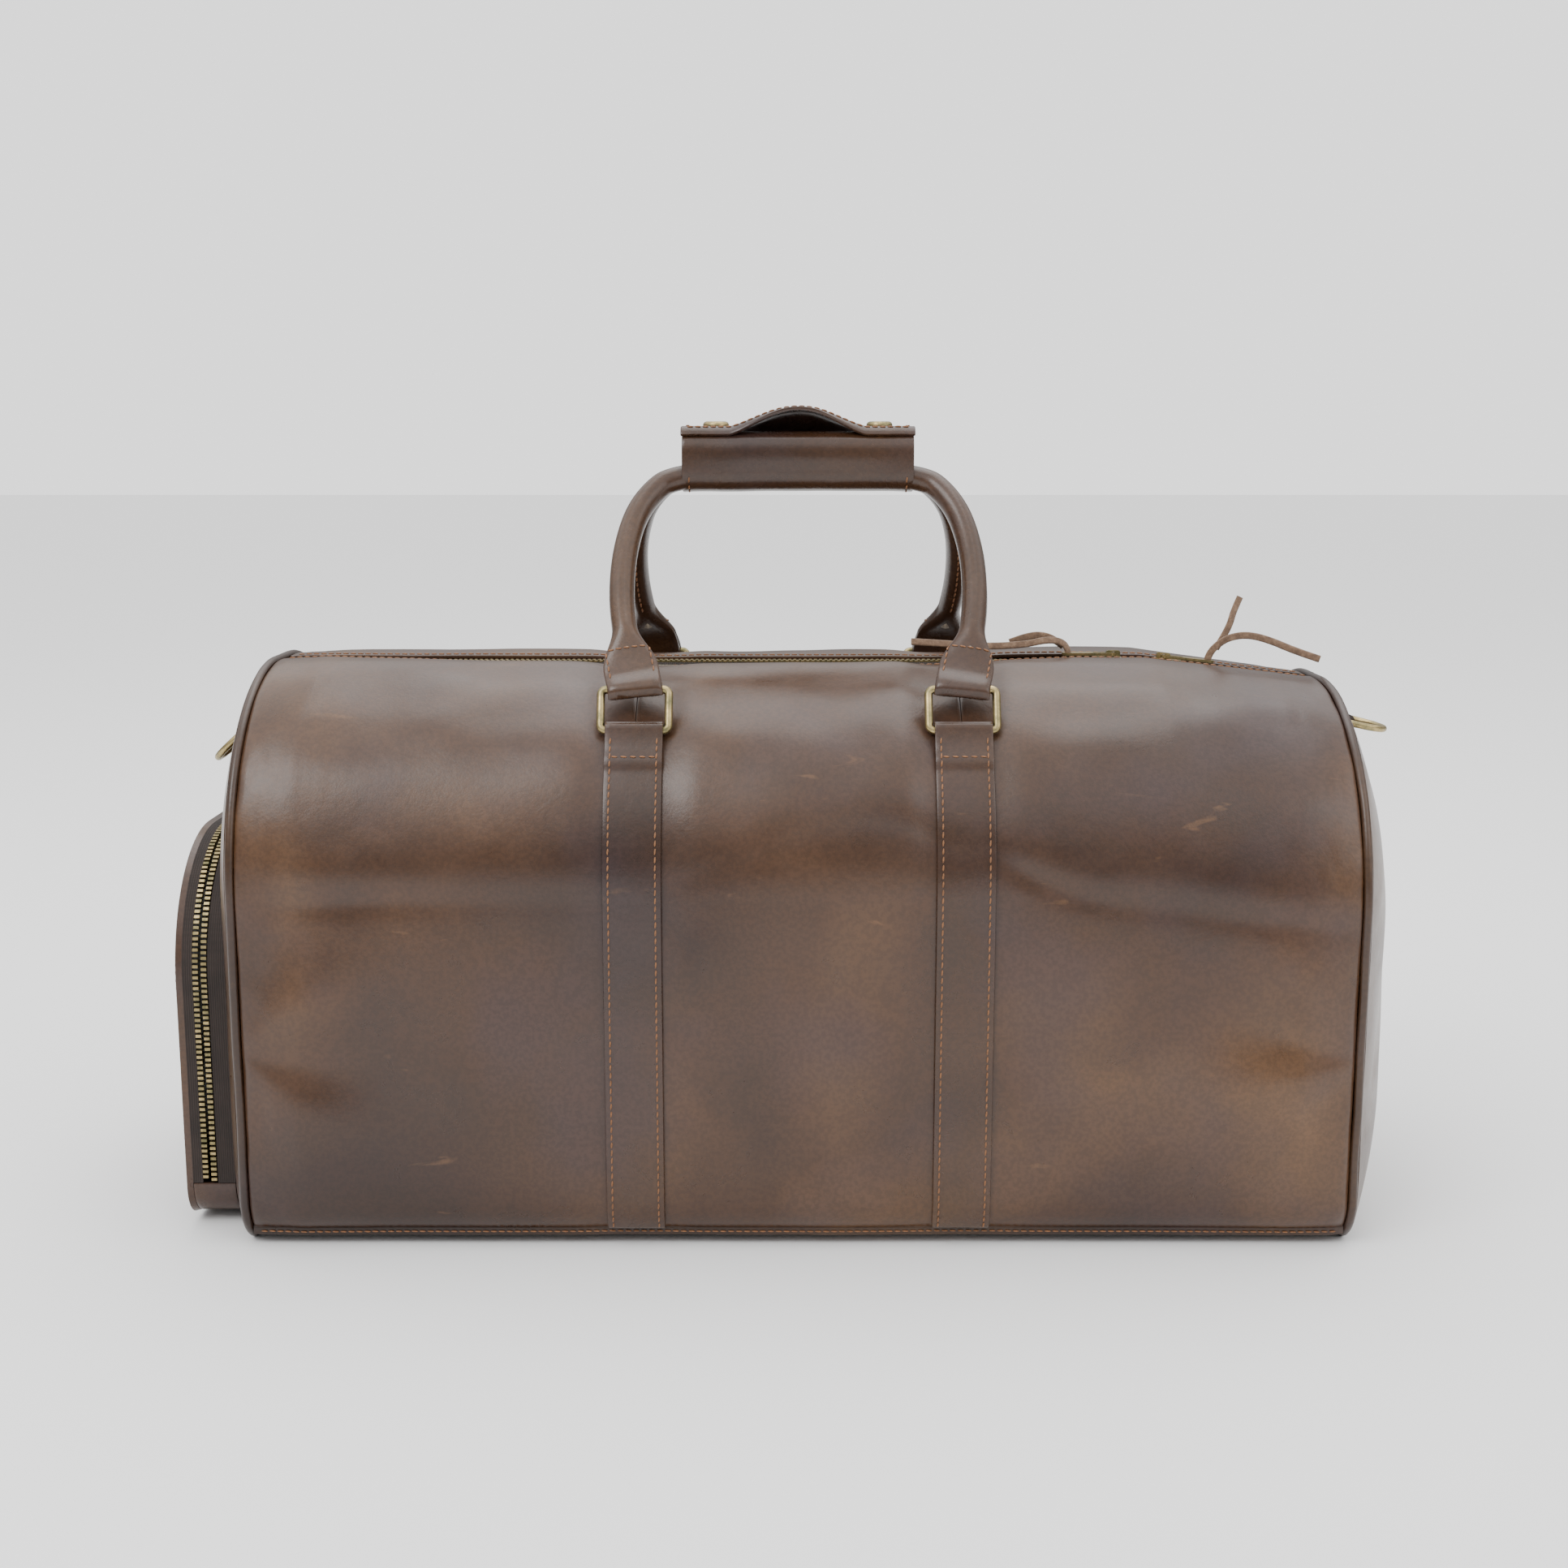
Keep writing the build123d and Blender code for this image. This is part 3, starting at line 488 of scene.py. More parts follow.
def woven_material(name, colour, scale, roughness=0.85):
    """Woven cloth, from two crossing waves."""
    tree, shader, place = start_material(name)
    waves = []
    for axis in ("X", "Y"):
        wave = tree.nodes.new("ShaderNodeTexWave")
        wave.bands_direction = axis
        wave.inputs["Scale"].default_value = scale
        wave.inputs["Distortion"].default_value = 0.6
        tree.links.new(place, wave.inputs["Vector"])
        waves.append(wave.outputs["Fac"])
    weave = blend_colour(tree, 0.5, waves[0], waves[1], "MULTIPLY")
    shade = ramp(tree, weave, (0.1, tuple(c * 0.55 for c in colour)), (0.8, colour))
    worn = ramp(tree, noise_map(tree, place, 60.0), (0.35, grey(0.75)), (0.65, grey(1.15)))
    tree.links.new(blend_colour(tree, 1.0, shade, worn, "MULTIPLY"), shader.inputs["Base Color"])
    shader.inputs["Roughness"].default_value = roughness
    tree.links.new(bump(tree, weave, 0.5, 0.0003), shader.inputs["Normal"])


def thread_material():
    """Waxed thread, twisted along its length."""
    tree, shader, place = start_material("Thread")
    colour = tuple(colours().thread)
    twist = noise_map(tree, place, 900.0, 2.0, 0.5)
    tone = ramp(tree, twist, (0.3, tuple(c * 0.55 for c in colour)), (0.7, colour))
    tree.links.new(tone, shader.inputs["Base Color"])
    shader.inputs["Roughness"].default_value = 0.55
    tree.links.new(bump(tree, twist, 0.4, 0.0002), shader.inputs["Normal"])


def suede_material():
    """Raw cut leather: a fuzzy tan-brown nap, mottled from dark to light."""
    tree, shader, place = start_material("Suede")
    nap = noise_map(tree, place, 300.0, 6.0, 0.7)
    worn, tan, raw = (0.09, 0.052, 0.032), (0.19, 0.115, 0.07), (0.30, 0.20, 0.13)
    tone = ramp(tree, nap, (0.3, worn), (0.55, tan), (0.75, raw))
    tree.links.new(tone, shader.inputs["Base Color"])
    shader.inputs["Roughness"].default_value = 0.9
    shader.inputs["Sheen Weight"].default_value = 0.3
    tree.links.new(bump(tree, nap, 0.7, 0.0005), shader.inputs["Normal"])


class DUFFEL_OT_materials(bpy.types.Operator):
    """Makes the materials and puts them on the frame's own metal, cloth and board"""

    bl_idname = "duffel.materials"
    bl_label = "Materials"

    def execute(self, context):
        tones = [tuple(c) for c in (colours().leather_dark, colours().leather_mid, colours().leather_light)]
        leather_material("Leather", *tones)
        darker = [tuple(c * 0.80 for c in tone) for tone in tones]
        leather_material("Strap leather", *darker, gloss=0.05)
        leather_material("Trim leather", *[tuple(c * 0.62 for c in tone) for tone in tones])
        brass = tuple(colours().brass)
        brass_material("Brass", brass, 0.26)
        brass_material("Zip brass", tuple(c * 0.9 for c in brass), 0.34)
        woven_material("Zip tape", (0.030, 0.019, 0.015), 260.0)
        woven_material("Lining", (0.16, 0.13, 0.09), 160.0)
        woven_material("Board", (0.05, 0.045, 0.04), 40.0)
        woven_material("Core rope", (0.5, 0.45, 0.36), 120.0)
        thread_material()
        suede_material()
        by_slot = {
            "brass": "Brass",
            "lining": "Lining",
            "board": "Board",
            "core_cord": "Core rope",
            "zip_tape": "Zip tape",
            "suede": "Suede",
            "body_leather": "Leather",
            "strap_leather": "Strap leather",
            "trim_leather": "Trim leather",
        }
        for entry in frame["record"]["subparts"]:
            node = frame["nodes"][entry["node"]]
            choice = by_slot[entry["material_slot"]]
            if "teeth" in entry["node"] or "stops" in entry["node"]:
                choice = "Zip brass"
            for material_slot in node.material_slots:
                material_slot.material = bpy.data.materials[choice]
        return {"FINISHED"}


# ---- sewn panels --------------------------------------------------------------------------------
def span(u, start, stop):
    return start + (stop - start) * u


class DUFFEL_OT_panels(bpy.types.Operator):
    """Front and back panels in three columns each, the bottom, its welts and the lips' stitching"""

    bl_idname = "duffel.panels"
    bl_label = "Panels"

    def execute(self, context):
        lip = 0.0078
        seam_half = 0.00005
        columns = {
            "left": (-panel_end, -strap_x - seam_half, 84),
            "centre": (-strap_x + seam_half, strap_x - seam_half, 70),
            "right": (strap_x + seam_half, panel_end, 84),
        }
        for side, word in ((-1, "front"), (1, "back")):
            for column, (start, stop, across) in columns.items():
                piece = surface(
                    f"{word}_panel_{column}",
                    lambda u, v: on_bag(span(u, start, stop), span(v, lip, seam_d), side),
                    across,
                    150,
                )
                thicken(piece, sizes().leather)
                finish_piece(piece, "Leather", "bag", "body_leather", f"{word}_panel_{column}")
            x = np.linspace(-panel_end + 0.004, panel_end - 0.004, 240)
            lip_run = on_bag(x, np.full_like(x, 0.0112), side, stitch_lift)
            stitches(f"{word}_lip_stitching", [lip_run], "bag")
            self.welt(side, word)
        total = wall_end + foot * pi / 2 + half_depth - foot

        def underside(u, v):
            way = v * 2 - 1
            side = np.where(way < 0, -1.0, 1.0)
            d = total - (total - seam_d) * np.abs(way)
            x = span(u, -panel_end, panel_end)
            y, z, ny, nz = outline(x, d)
            return np.stack([x, -side * y, z], axis=-1), np.stack([x * 0, -side * ny, nz], axis=-1)

        piece = surface("bottom_panel", underside, 60, 60)
        thicken(piece, sizes().leather)
        finish_piece(piece, "Leather", "bag", "body_leather", "bottom_panel")
        return {"FINISHED"}

    def welt(self, side, word):
        """A sewn welt on the seam above the bottom panel."""
        turn = pi / 2 + np.arcsin((foot - seam_z) / foot)
        out = np.array([0.0, side * sin(turn), cos(turn)])
        upright = np.array([0, 0, 1.0])

        def place(u, v):
            x = span(u, -panel_end, panel_end)
            around = v * 2 * pi
            points = on_bag(x, np.full_like(x, seam_d - 0.0005), side)[0]
            wobble = 1 + 0.12 * ripple(x, x * 0, side, 40.0, 2.2)
            rise = np.sign(np.sin(around)) * np.abs(np.sin(around)) ** 0.5 * 0.0024 * wobble
            bulge = np.sign(np.cos(around)) * np.abs(np.cos(around)) ** 0.6 * 0.0010
            lift = (0.0010 + bulge)[:, None] * out
            facing = np.cos(around)[:, None] * out + np.sin(around)[:, None] * upright
            return points + lift + rise[:, None] * upright, facing

        piece = surface(f"{word}_welt", place, 240, 12, weld=True)
        finish_piece(piece, "Trim leather", "bag", "trim_leather", f"{word}_welt")
        x = np.linspace(-panel_end + 0.004, panel_end - 0.004, 240)
        points, normals = on_bag(x, np.full_like(x, seam_d - 0.0012), side)
        stitches(f"{word}_welt_stitching", [(points + out * 0.0020, normals)], "bag")


# ---- domed ends and their piping ----------------------------------------------------------------
def end_loop(x, u, inset=0.0):
    """The closed outline (y, z) at an end seam, u from 0 to 1 round it from the zip, and normals."""
    wall = float(crown_height(x)) - shoulder - foot
    total = crown + (shoulder + foot) * pi / 2 + wall + half_depth - foot
    way = np.asarray(u) * 2
    side = np.where(way <= 1, -1.0, 1.0)
    d = np.where(way <= 1, way, 2 - way) * total
    y, z, ny, nz = outline(np.full_like(d, x), d)
    return -side * (y - ny * inset), z - nz * inset, -side * ny, nz


class DUFFEL_OT_ends(bpy.types.Operator):
    """Domed end panels and the piping round their seams"""

    bl_idname = "duffel.ends"
    bl_label = "Ends and piping"

    def execute(self, context):
        for side, word, depth, power in ((-1, "left", 0.0150, 4.5), (1, "right", 0.0340, 2.3)):
            x_seam = side * seam_x
            middle_z = 0.150

            def dome(u, v):
                y, z, ny, nz = end_loop(x_seam, u)
                r = 1 - v
                bulge = depth * (1 - r**power)
                soft = 0.0016 * ripple(y * r, z * r, side, 16.0, 4.4) * (1 - r**6)
                x = side * (seam_x + 0.0026 + bulge + soft)
                points = np.stack([x, y * r, middle_z + (z - middle_z) * r], axis=-1)
                normals = np.stack([np.full_like(y, side * 1.0), ny * r, nz * r], axis=-1)
                return points, normals

            piece = surface(f"{word}_end_panel", dome, 160, 40, weld=True)
            thicken(piece, sizes().leather, round_edge=False)
            finish_piece(piece, "Leather", "bag", "body_leather", f"end_panel_{word}")
            marks = np.arange(420) / 420
            y, z, ny, nz = end_loop(x_seam, marks, 0.0005)
            z = np.maximum(z, 0.0025)
            wander = 0.0006 * ripple(marks * 3.0, marks * 0, side, 9.0, 6.6)
            points = np.stack([np.full_like(y, x_seam) + wander, y, z], axis=-1)
            cord = tube(f"{word}_piping", points, 0.0025, closed=True, sides=4)
            finish_piece(cord, "Trim leather", "bag", "trim_leather", f"piping_{word}")
        return {"FINISHED"}


# ---- straps -------------------------------------------------------------------------------------
class DUFFEL_OT_straps(bpy.types.Operator):
    """Four straps, each folded round its ring's lower bar and stitched along both edges"""

    bl_idname = "duffel.straps"
    bl_label = "Straps"

    def execute(self, context):
        half_width = (strap_high[0] - strap_low[0]) / 2
        eye = {-1: joint_at["front_rings_swing"], 1: joint_at["back_rings_swing"]}
        eye_turn = atan2(abs(eye[1][1]) - crown, eye[1][2] - (top_z - shoulder))
        eye_d = crown + shoulder * eye_turn
        foot_d = seam_d - 0.0042
        for side, word in ((-1, "front"), (1, "back")):
            out = np.array([0.0, side * sin(eye_turn), cos(eye_turn)])
            up = np.array([0.0, -side * cos(eye_turn), sin(eye_turn)])
            middle = np.array([0.0, eye[side][1], eye[side][2]])
            for end, end_word in ((-1, "left"), (1, "right")):

                def ride_height(d):
                    double = np.clip((eye_d + 0.024 - d) / 0.006, 0, 1) * 0.0020
                    rise = np.clip((eye_d + 0.013 - d) / 0.013, 0, 1) ** 1.6 * (0.0097 - 0.0046)
                    return 0.0026 + double + rise

                def place(u, v):
                    x = end * strap_x + span(u, -half_width, half_width)
                    length = foot_d - eye_d
                    run = v * (length + eye_outer * pi)
                    d = foot_d - np.minimum(run, length)
                    points, normals = on_bag(np.full_like(x, end * strap_x), d, side)
                    points = points + normals * ride_height(d)[:, None]
                    points[:, 0] = x
                    points = points + normals * (0.0004 * ripple(x, d, side, 30.0, 8.8))[:, None]
                    angle = np.clip((run - length) / eye_outer, 0, pi)
                    ring = middle + eye_outer * (np.outer(np.cos(angle), out) + np.outer(np.sin(angle), up))
                    ring[:, 0] = x
                    facing = np.outer(np.cos(angle), out) + np.outer(np.sin(angle), up)
                    over = run > length
                    points[over] = ring[over]
                    normals = np.where(over[:, None], facing, normals)
                    return points, normals

                piece = surface(f"{word}_strap_{end_word}", place, 10, 170)
                thicken(piece, sizes().strap_leather)
                finish_piece(piece, "Strap leather", "bag", "strap_leather", f"{word}_strap_{end_word}")
                runs = []
                stitch_x = 0.0124
                for edge in (-stitch_x, stitch_x):
                    d = np.linspace(foot_d - 0.001, eye_d + 0.006, 200)
                    points, normals = on_bag(np.full_like(d, end * strap_x), d, side)
                    points = points + normals * (ride_height(d) + stitch_lift)[:, None]
                    points[:, 0] += edge
                    runs.append((points, normals))
                x = np.linspace(-stitch_x, stitch_x, 12)
                d = np.full_like(x, eye_d + 0.0165)
                points, normals = on_bag(np.full_like(x, end * strap_x), d, side)
                points = points + normals * (ride_height(d) + stitch_lift)[:, None]
                points[:, 0] += x
                runs.append((points, normals))
                stitches(f"{word}_strap_{end_word}_stitching", runs, "bag")
        return {"FINISHED"}


# ---- handles ------------------------------------------------------------------------------------
def soften(points, rounds=4):
    """Cuts a polyline's corners until it is smooth, keeping its ends."""
    points = [np.asarray(p, float) for p in points]
    for _ in range(rounds):
        cut = [points[0]]
        for a, b in zip(points, points[1:]):
            cut.extend([a * 0.75 + b * 0.25, a * 0.25 + b * 0.75])
        points = cut + [points[-1]]
    return np.array(points)


def smoothstep(value, start, stop):
    t = np.clip((value - start) / (stop - start), 0, 1)
    return t * t * (3 - 2 * t)


sleeve_low, sleeve_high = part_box("wrap_sleeve")
flap_low, flap_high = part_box("wrap_flap")
cap_low, cap_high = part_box("snap_cap_right")
grip_y = (sleeve_low[1] + sleeve_high[1]) / 2
grip_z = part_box("front_handle_core")[1][2] - 0.0040
grip_apart = 0.008
# half of a handle, up the leg from the ring's bar: sideways from the middle, and along the leg
leg = [
    (0.0876, -0.0049),
    (0.0884, 0.002),
    (0.0905, 0.012),
    (0.0930, 0.024),
    (0.0980, 0.058),
    (0.0970, 0.095),
    (0.0880, 0.126),
]
grip_reach = 0.068
tab_eye = 0.0049
roll_radius = 0.0070


class DUFFEL_OT_handles(bpy.types.Operator):
    """Two rolled handles whose ends flatten into folded tabs round the rings' upper bars"""

    bl_idname = "duffel.handles"
    bl_label = "Handles"

    def execute(self, context):
        front_tab = np.array(joint_at["handles_swing"])
        shift = front_tab - np.array(joint_at["front_rings_swing"])
        back_tab = np.array(joint_at["back_rings_swing"]) + shift
        for side, word, tab in ((-1, "front", front_tab), (1, "back", back_tab)):
            grip = np.array([0.0, grip_y + side * grip_apart, grip_z])
            tab = np.array([0.0, tab[1], tab[2]])
            rise = np.linalg.norm(grip - tab)
            up = (grip - tab) / rise
            out = np.cross([1.0, 0.0, 0.0], up)
            out = out if out[1] * side > 0 else -out
            half = leg + [(grip_reach, rise)]
            flat = soften(half + [(-x, v) for x, v in reversed(half)])
            path = flat[:, :1] * np.array([1.0, 0, 0]) + flat[:, 1:] * up + tab
            steps = np.linalg.norm(np.diff(path, axis=0), axis=1)
            run = np.concatenate([[0.0], np.cumsum(steps)])

            def section(mark):
                """Half width, half thickness and squareness at a distance along the handle."""
                near = np.minimum(mark, run[-1] - mark) - tab_eye
                roll = smoothstep(near, 0.013, 0.040)
                wide = 0.0148 * (1 - roll) + roll_radius * roll
                loop = np.sqrt(np.clip(tab_eye**2 - np.minimum(near, 0) ** 2, 1e-8, None))
                thick = np.where(near < 0, loop, 0.0026 + 0.0023 * (1 - smoothstep(near, 0.001, 0.011)))
                thick = thick * (1 - roll) + roll_radius * roll
                return wide, thick, 0.35 + 0.65 * roll

            def frame_at(mark):
                spot = np.stack([np.interp(mark, run, path[:, k]) for k in range(3)], axis=1)
                ahead = np.stack([np.interp(mark + 0.002, run, path[:, k]) for k in range(3)], axis=1)
                back = np.stack([np.interp(mark - 0.002, run, path[:, k]) for k in range(3)], axis=1)
                along = ahead - back
                along /= np.linalg.norm(along, axis=1)[:, None]
                across = np.cross(along, out)
                return spot, along, across / np.linalg.norm(across, axis=1)[:, None]

            def place(u, v):
                mark = v * run[-1]
                wide, thick, square = section(mark)
                spot, along, across = frame_at(mark)
                turn = u * 2 * pi
                c, s = np.cos(turn), np.sin(turn)
                wobble = 1 + 0.035 * ripple(mark * 0.4, turn * 0.01, side, 90.0, 7.7)
                w = np.sign(c) * np.abs(c) ** square * wide * wobble
                t = np.sign(s) * np.abs(s) ** square * thick * wobble
                seam = np.exp(-(((turn - 1.5 * pi) / 0.16) ** 2)) * 0.0007
                points = spot + across * w[:, None] + (t + seam)[:, None] * out
                facing = across * c[:, None] + s[:, None] * out
                return points, facing

            piece = surface(f"{word}_handle", place, 36, 330, weld=True)
            finish_piece(piece, "Strap leather", "handles", "strap_leather", f"{word}_handle")
            runs = []
            for start in (0, 1):
                stitch_line = []
                for k in np.linspace(-1, 1, 41):
                    reach = 0.0119 * np.sign(k) * min(1.0, abs(k) * 2.2)
                    mark = tab_eye + 0.0075 + 0.017 * (1 - max(0.0, abs(k) - 0.45) / 0.55)
                    stitch_line.append((reach, mark))
                reach, mark = np.array(stitch_line).T
                mark = mark if start == 0 else run[-1] - mark
                wide, thick, square = section(mark)
                spot, along, across = frame_at(mark)
                height = thick * (1 - np.clip(np.abs(reach) / wide, 0, 1) ** (2 / square)) ** (square / 2)
                points = spot + across * reach[:, None] + (height + stitch_lift)[:, None] * out
                runs.append((points, np.tile(out, (len(points), 1))))
            mark = np.linspace(0.045, run[-1] - 0.045, 300)
            spot, along, across = frame_at(mark)
            runs.append((spot - out * 0.0069, np.tile(-out, (len(spot), 1))))
            stitches(f"{word}_handle_stitching", runs, "handles")
        return {"FINISHED"}


class DUFFEL_OT_rings(bpy.types.Operator):
    """The four handle rings and the two D-rings, in round brass wire"""

    bl_idname = "duffel.rings"
    bl_label = "Rings"

    def execute(self, context):
        front_tab = np.array(joint_at["handles_swing"])
        rise = front_tab - np.array(joint_at["front_rings_swing"])
        for side, word in ((-1, "front"), (1, "back")):
            low = np.array(joint_at[f"{word}_rings_swing"])
            for end, end_word in ((-1, "left"), (1, "right")):
                corners = [(-1, 0.0), (1, 0.0), (1, 1.0), (-1, 1.0)]
                points = []
                bend = 0.0031
                length = np.linalg.norm(rise)
                for sx, t in corners:
                    centre_x = sx * (0.01825 - bend)
                    centre_v = bend if t == 0 else length - bend
                    start = {(-1, 0.0): pi, (1, 0.0): 1.5 * pi, (1, 1.0): 0.0, (-1, 1.0): 0.5 * pi}[(sx, t)]
                    for k in range(9):
                        a = start + k / 8 * pi / 2
                        points.append((centre_x + bend * cos(a), centre_v + bend * sin(a)))
                path = [low + np.array([end * strap_x + a, 0, 0]) + rise / length * b for a, b in points]
                ring = tube(f"{word}_ring_{end_word}", path, 0.00225, closed=True, sides=6)
                finish_piece(ring, "Brass", f"{word}_rings", "brass", f"{word}_ring_{end_word}")
        for side, word, hang in ((-1, "left", radians(42)), (1, "right", radians(12))):
            pin = np.array(joint_at[f"{word}_d_ring_swing"])
            out = np.array([side * cos(hang), 0, -sin(hang)])
            points = [(-0.0155, 0.0003), (0.0155, 0.0003), (0.0166, 0.0012), (0.017, 0.0028)]
            points += [(0.017 * cos(a), 0.008 + 0.017 * sin(a)) for a in np.linspace(0, pi, 33)]
            points += [(-0.017, 0.0028), (-0.0166, 0.0012)]
            path = [pin + np.array([0, a, 0]) + out * b for a, b in points]
            ring = tube(f"{word}_d-ring", path, 0.0020, closed=True, sides=6)
            finish_piece(ring, "Brass", f"{word}_d_ring", "brass", f"d_ring_{word}")
        return {"FINISHED"}


# ---- grip wrap ----------------------------------------------------------------------------------
class DUFFEL_OT_wrap(bpy.types.Operator):
    """The leather sleeve round both grips and the flap that snaps down over it"""

    bl_idname = "duffel.wrap"
    bl_label = "Grip wrap"

    def execute(self, context):
        half_y = (sleeve_high[1] - sleeve_low[1]) / 2
        low_z = sleeve_low[2]
        top = flap_low[2] - 0.0006
        half_z = (top - low_z) / 2
        middle = np.array([0.0, grip_y, low_z + half_z])
        wide = sleeve_high[0]
        square = 0.60

        def sleeve(u, v):
            turn = u * 2 * pi
            c, s = np.cos(turn), np.sin(turn)
            x = span(v, -wide, wide)
            swell = 1 + 0.03 * ripple(turn * 0.012, x, 1, 45.0, 3.9)
            swell = swell - 0.05 * (1 - (x / wide) ** 2) * (s < 0)
            y = np.sign(c) * np.abs(c) ** square * half_y * swell
            z = np.sign(s) * np.abs(s) ** square * half_z * np.where(s > 0, 1.0, swell)
            points = middle + np.stack([x, y, z], axis=-1)
            return points, np.stack([x * 0, c, s], axis=-1)

        piece = surface("wrap_sleeve", sleeve, 72, 60, weld=True)
        thicken(piece, sizes().strap_leather)
        finish_piece(piece, "Strap leather", "handles", "strap_leather", "wrap_sleeve")
        turn = np.linspace(pi + 0.25, 1.42 * pi, 24)
        runs = []
        for x in (-wide + 0.004, wide - 0.004):
            c, s = np.cos(turn), np.sin(turn)
            y = -np.abs(c) ** square * half_y * 1.01
            z = -np.abs(s) ** square * half_z
            points = middle + np.stack([np.full_like(y, x), y, z], axis=-1)
            runs.append((points, np.stack([c * 0, c, s], axis=-1)))
        stitches("wrap_sleeve_stitching", runs, "handles")

        snap_x = (cap_low[0] + cap_high[0]) / 2
        bow_half = snap_x - (cap_high[0] - cap_low[0]) / 2 - 0.0005
        thickness = sizes().strap_leather
        rest_z = flap_low[2] + thickness
        bow = flap_high[2] - flap_low[2] - thickness
        back, front = sleeve_high[1] + 0.0006, grip_y - 0.0145

        def flap(u, v, lift=0.0):
            x = span(u, -wide - 0.0008, wide + 0.0008)
            arch = np.clip(1 - (x / bow_half) ** 2, 0, None) ** 1.5
            y = span(v, front - 0.0025, back)
            nose = np.clip((front + 0.0030 - y) / 0.0055, 0, 1) ** 2 * (1 - arch)
            tail = np.clip((y - (back - 0.006)) / 0.006, 0, 1)
            closing = np.clip((y - (back - 0.014)) / 0.014, 0, 1)
            z = rest_z + bow * arch * (1 - closing**2) - 0.0046 * nose - 0.0030 * tail**2
            loose = 1 - np.exp(-(((np.abs(x) - snap_x) / 0.009) ** 4))
            z = z + 0.0005 * ripple(x, y, 1, 50.0, 2.6) * loose
            slope = -3 * bow * (x / bow_half**2) * np.clip(1 - (x / bow_half) ** 2, 0, None) ** 0.5
            normals = np.stack([-slope, x * 0, np.ones_like(x)], axis=-1)
            normals /= np.linalg.norm(normals, axis=1)[:, None]
            return np.stack([x, y, z], axis=-1) + normals * lift, normals

        piece = surface("wrap_flap", flap, 120, 30)
        thicken(piece, thickness)
        finish_piece(piece, "Strap leather", "wrap_flap", "strap_leather", "wrap_flap")
        u = np.linspace(0.025, 0.975, 80)
        runs = [flap(u, np.full_like(u, 0.10), stitch_lift)]
        v = np.linspace(0.12, 0.90, 20)
        for edge in (0.026, 0.974):
            runs.append(flap(np.full_like(v, edge), v, stitch_lift))
        stitches("wrap_flap_stitching", runs, "wrap_flap")
        return {"FINISHED"}


# ---- top zip ------------------------------------------------------------------------------------
class DUFFEL_OT_zip(bpy.types.Operator):
    """The woven tapes of the top zip, dipping under the leather lips"""

    bl_idname = "duffel.top_zip"
    bl_label = "Top zip"

    def execute(self, context):
        low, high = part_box("zip_tape_front")
        for side, word in ((-1, "front"), (1, "back")):

            def place(u, v):
                x = span(u, low[0] - 0.004, high[0] + 0.004)
                d = span(v, 0.0037, 0.0165)
                under = on_bag(x, d, side)[0]
                dip = smoothstep(d, 0.0040, 0.0085)
                z = crown_height(x) - 0.0026
                under_z = np.minimum(under[:, 2] - sizes().leather - 0.0004, z)
                points = np.stack([x, side * d, z * (1 - dip) + under_z * dip], axis=-1)
                return points, np.stack([x * 0, x * 0, x * 0 + 1.0], axis=-1)

            piece = surface(f"{word}_zip_tape", place, 220, 8)
            thicken(piece, 0.0007, round_edge=False)
            finish_piece(piece, "Zip tape", "bag", "zip_tape", f"zip_tape_{word}")
        return {"FINISHED"}


# ---- pocket on the left end ---------------------------------------------------------------------
pocket_low, pocket_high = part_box("pocket_face")
inner_low, inner_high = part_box("pocket_tape_inner")
outer_low, outer_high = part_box("pocket_tape_outer")
pocket_half = pocket_high[1]
pocket_top_radius = 0.075
pocket_low_radius = 0.020


def arch_path(close=False, count=400):
    """The pocket's outline (y, z), evenly spaced over the top from foot to foot, or right round."""
    half = pocket_half
    top = pocket_high[2]
    low = pocket_low[2]
    r = pocket_top_radius
    arcs = [(half - r, top - r, r, 0.0, pi / 2), (-(half - r), top - r, r, pi / 2, pi)]
    points = []
    s = pocket_low_radius
    if close:
        points += [(half - s + s * cos(a), low + s + s * sin(a)) for a in np.linspace(-pi / 2, 0, 16)]
    else:
        points += [(half, inner_low[2])]
    for cy, cz, radius, start, stop in arcs:
        points += [(cy + radius * cos(a), cz + radius * sin(a)) for a in np.linspace(start, stop, 24)]
    if close:
        points += [(-half + s + s * cos(a), low + s + s * sin(a)) for a in np.linspace(pi, 1.5 * pi, 16)]
        points += [(half - s, low)]
    else:
        points += [(-half, inner_low[2])]
    points = np.array(points)
    steps = np.linalg.norm(np.diff(points, axis=0), axis=1)
    run = np.concatenate([[0.0], np.cumsum(steps)])
    marks = np.linspace(0, run[-1], count)
    return np.stack([np.interp(marks, run, points[:, k]) for k in (0, 1)], axis=1)


def along_arch(u, close=False):
    """Points (y, z) and outward normals (y, z) at fractions of the outline."""
    path = arch_path(close)
    marks = np.linspace(0, 1, len(path))
    step = 0.004
    at = np.stack([np.interp(u, marks, path[:, k]) for k in (0, 1)], axis=1)
    if close:
        before, after = (u - step) % 1.0, (u + step) % 1.0
    else:
        before, after = np.clip(u - step, 0, 1), np.clip(u + step, 0, 1)
    ahead = np.stack([np.interp(after, marks, path[:, k]) for k in (0, 1)], axis=1)
    behind = np.stack([np.interp(before, marks, path[:, k]) for k in (0, 1)], axis=1)
    way = ahead - behind
    way /= np.linalg.norm(way, axis=1)[:, None] + 1e-12
    return at, np.stack([way[:, 1], -way[:, 0]], axis=1)


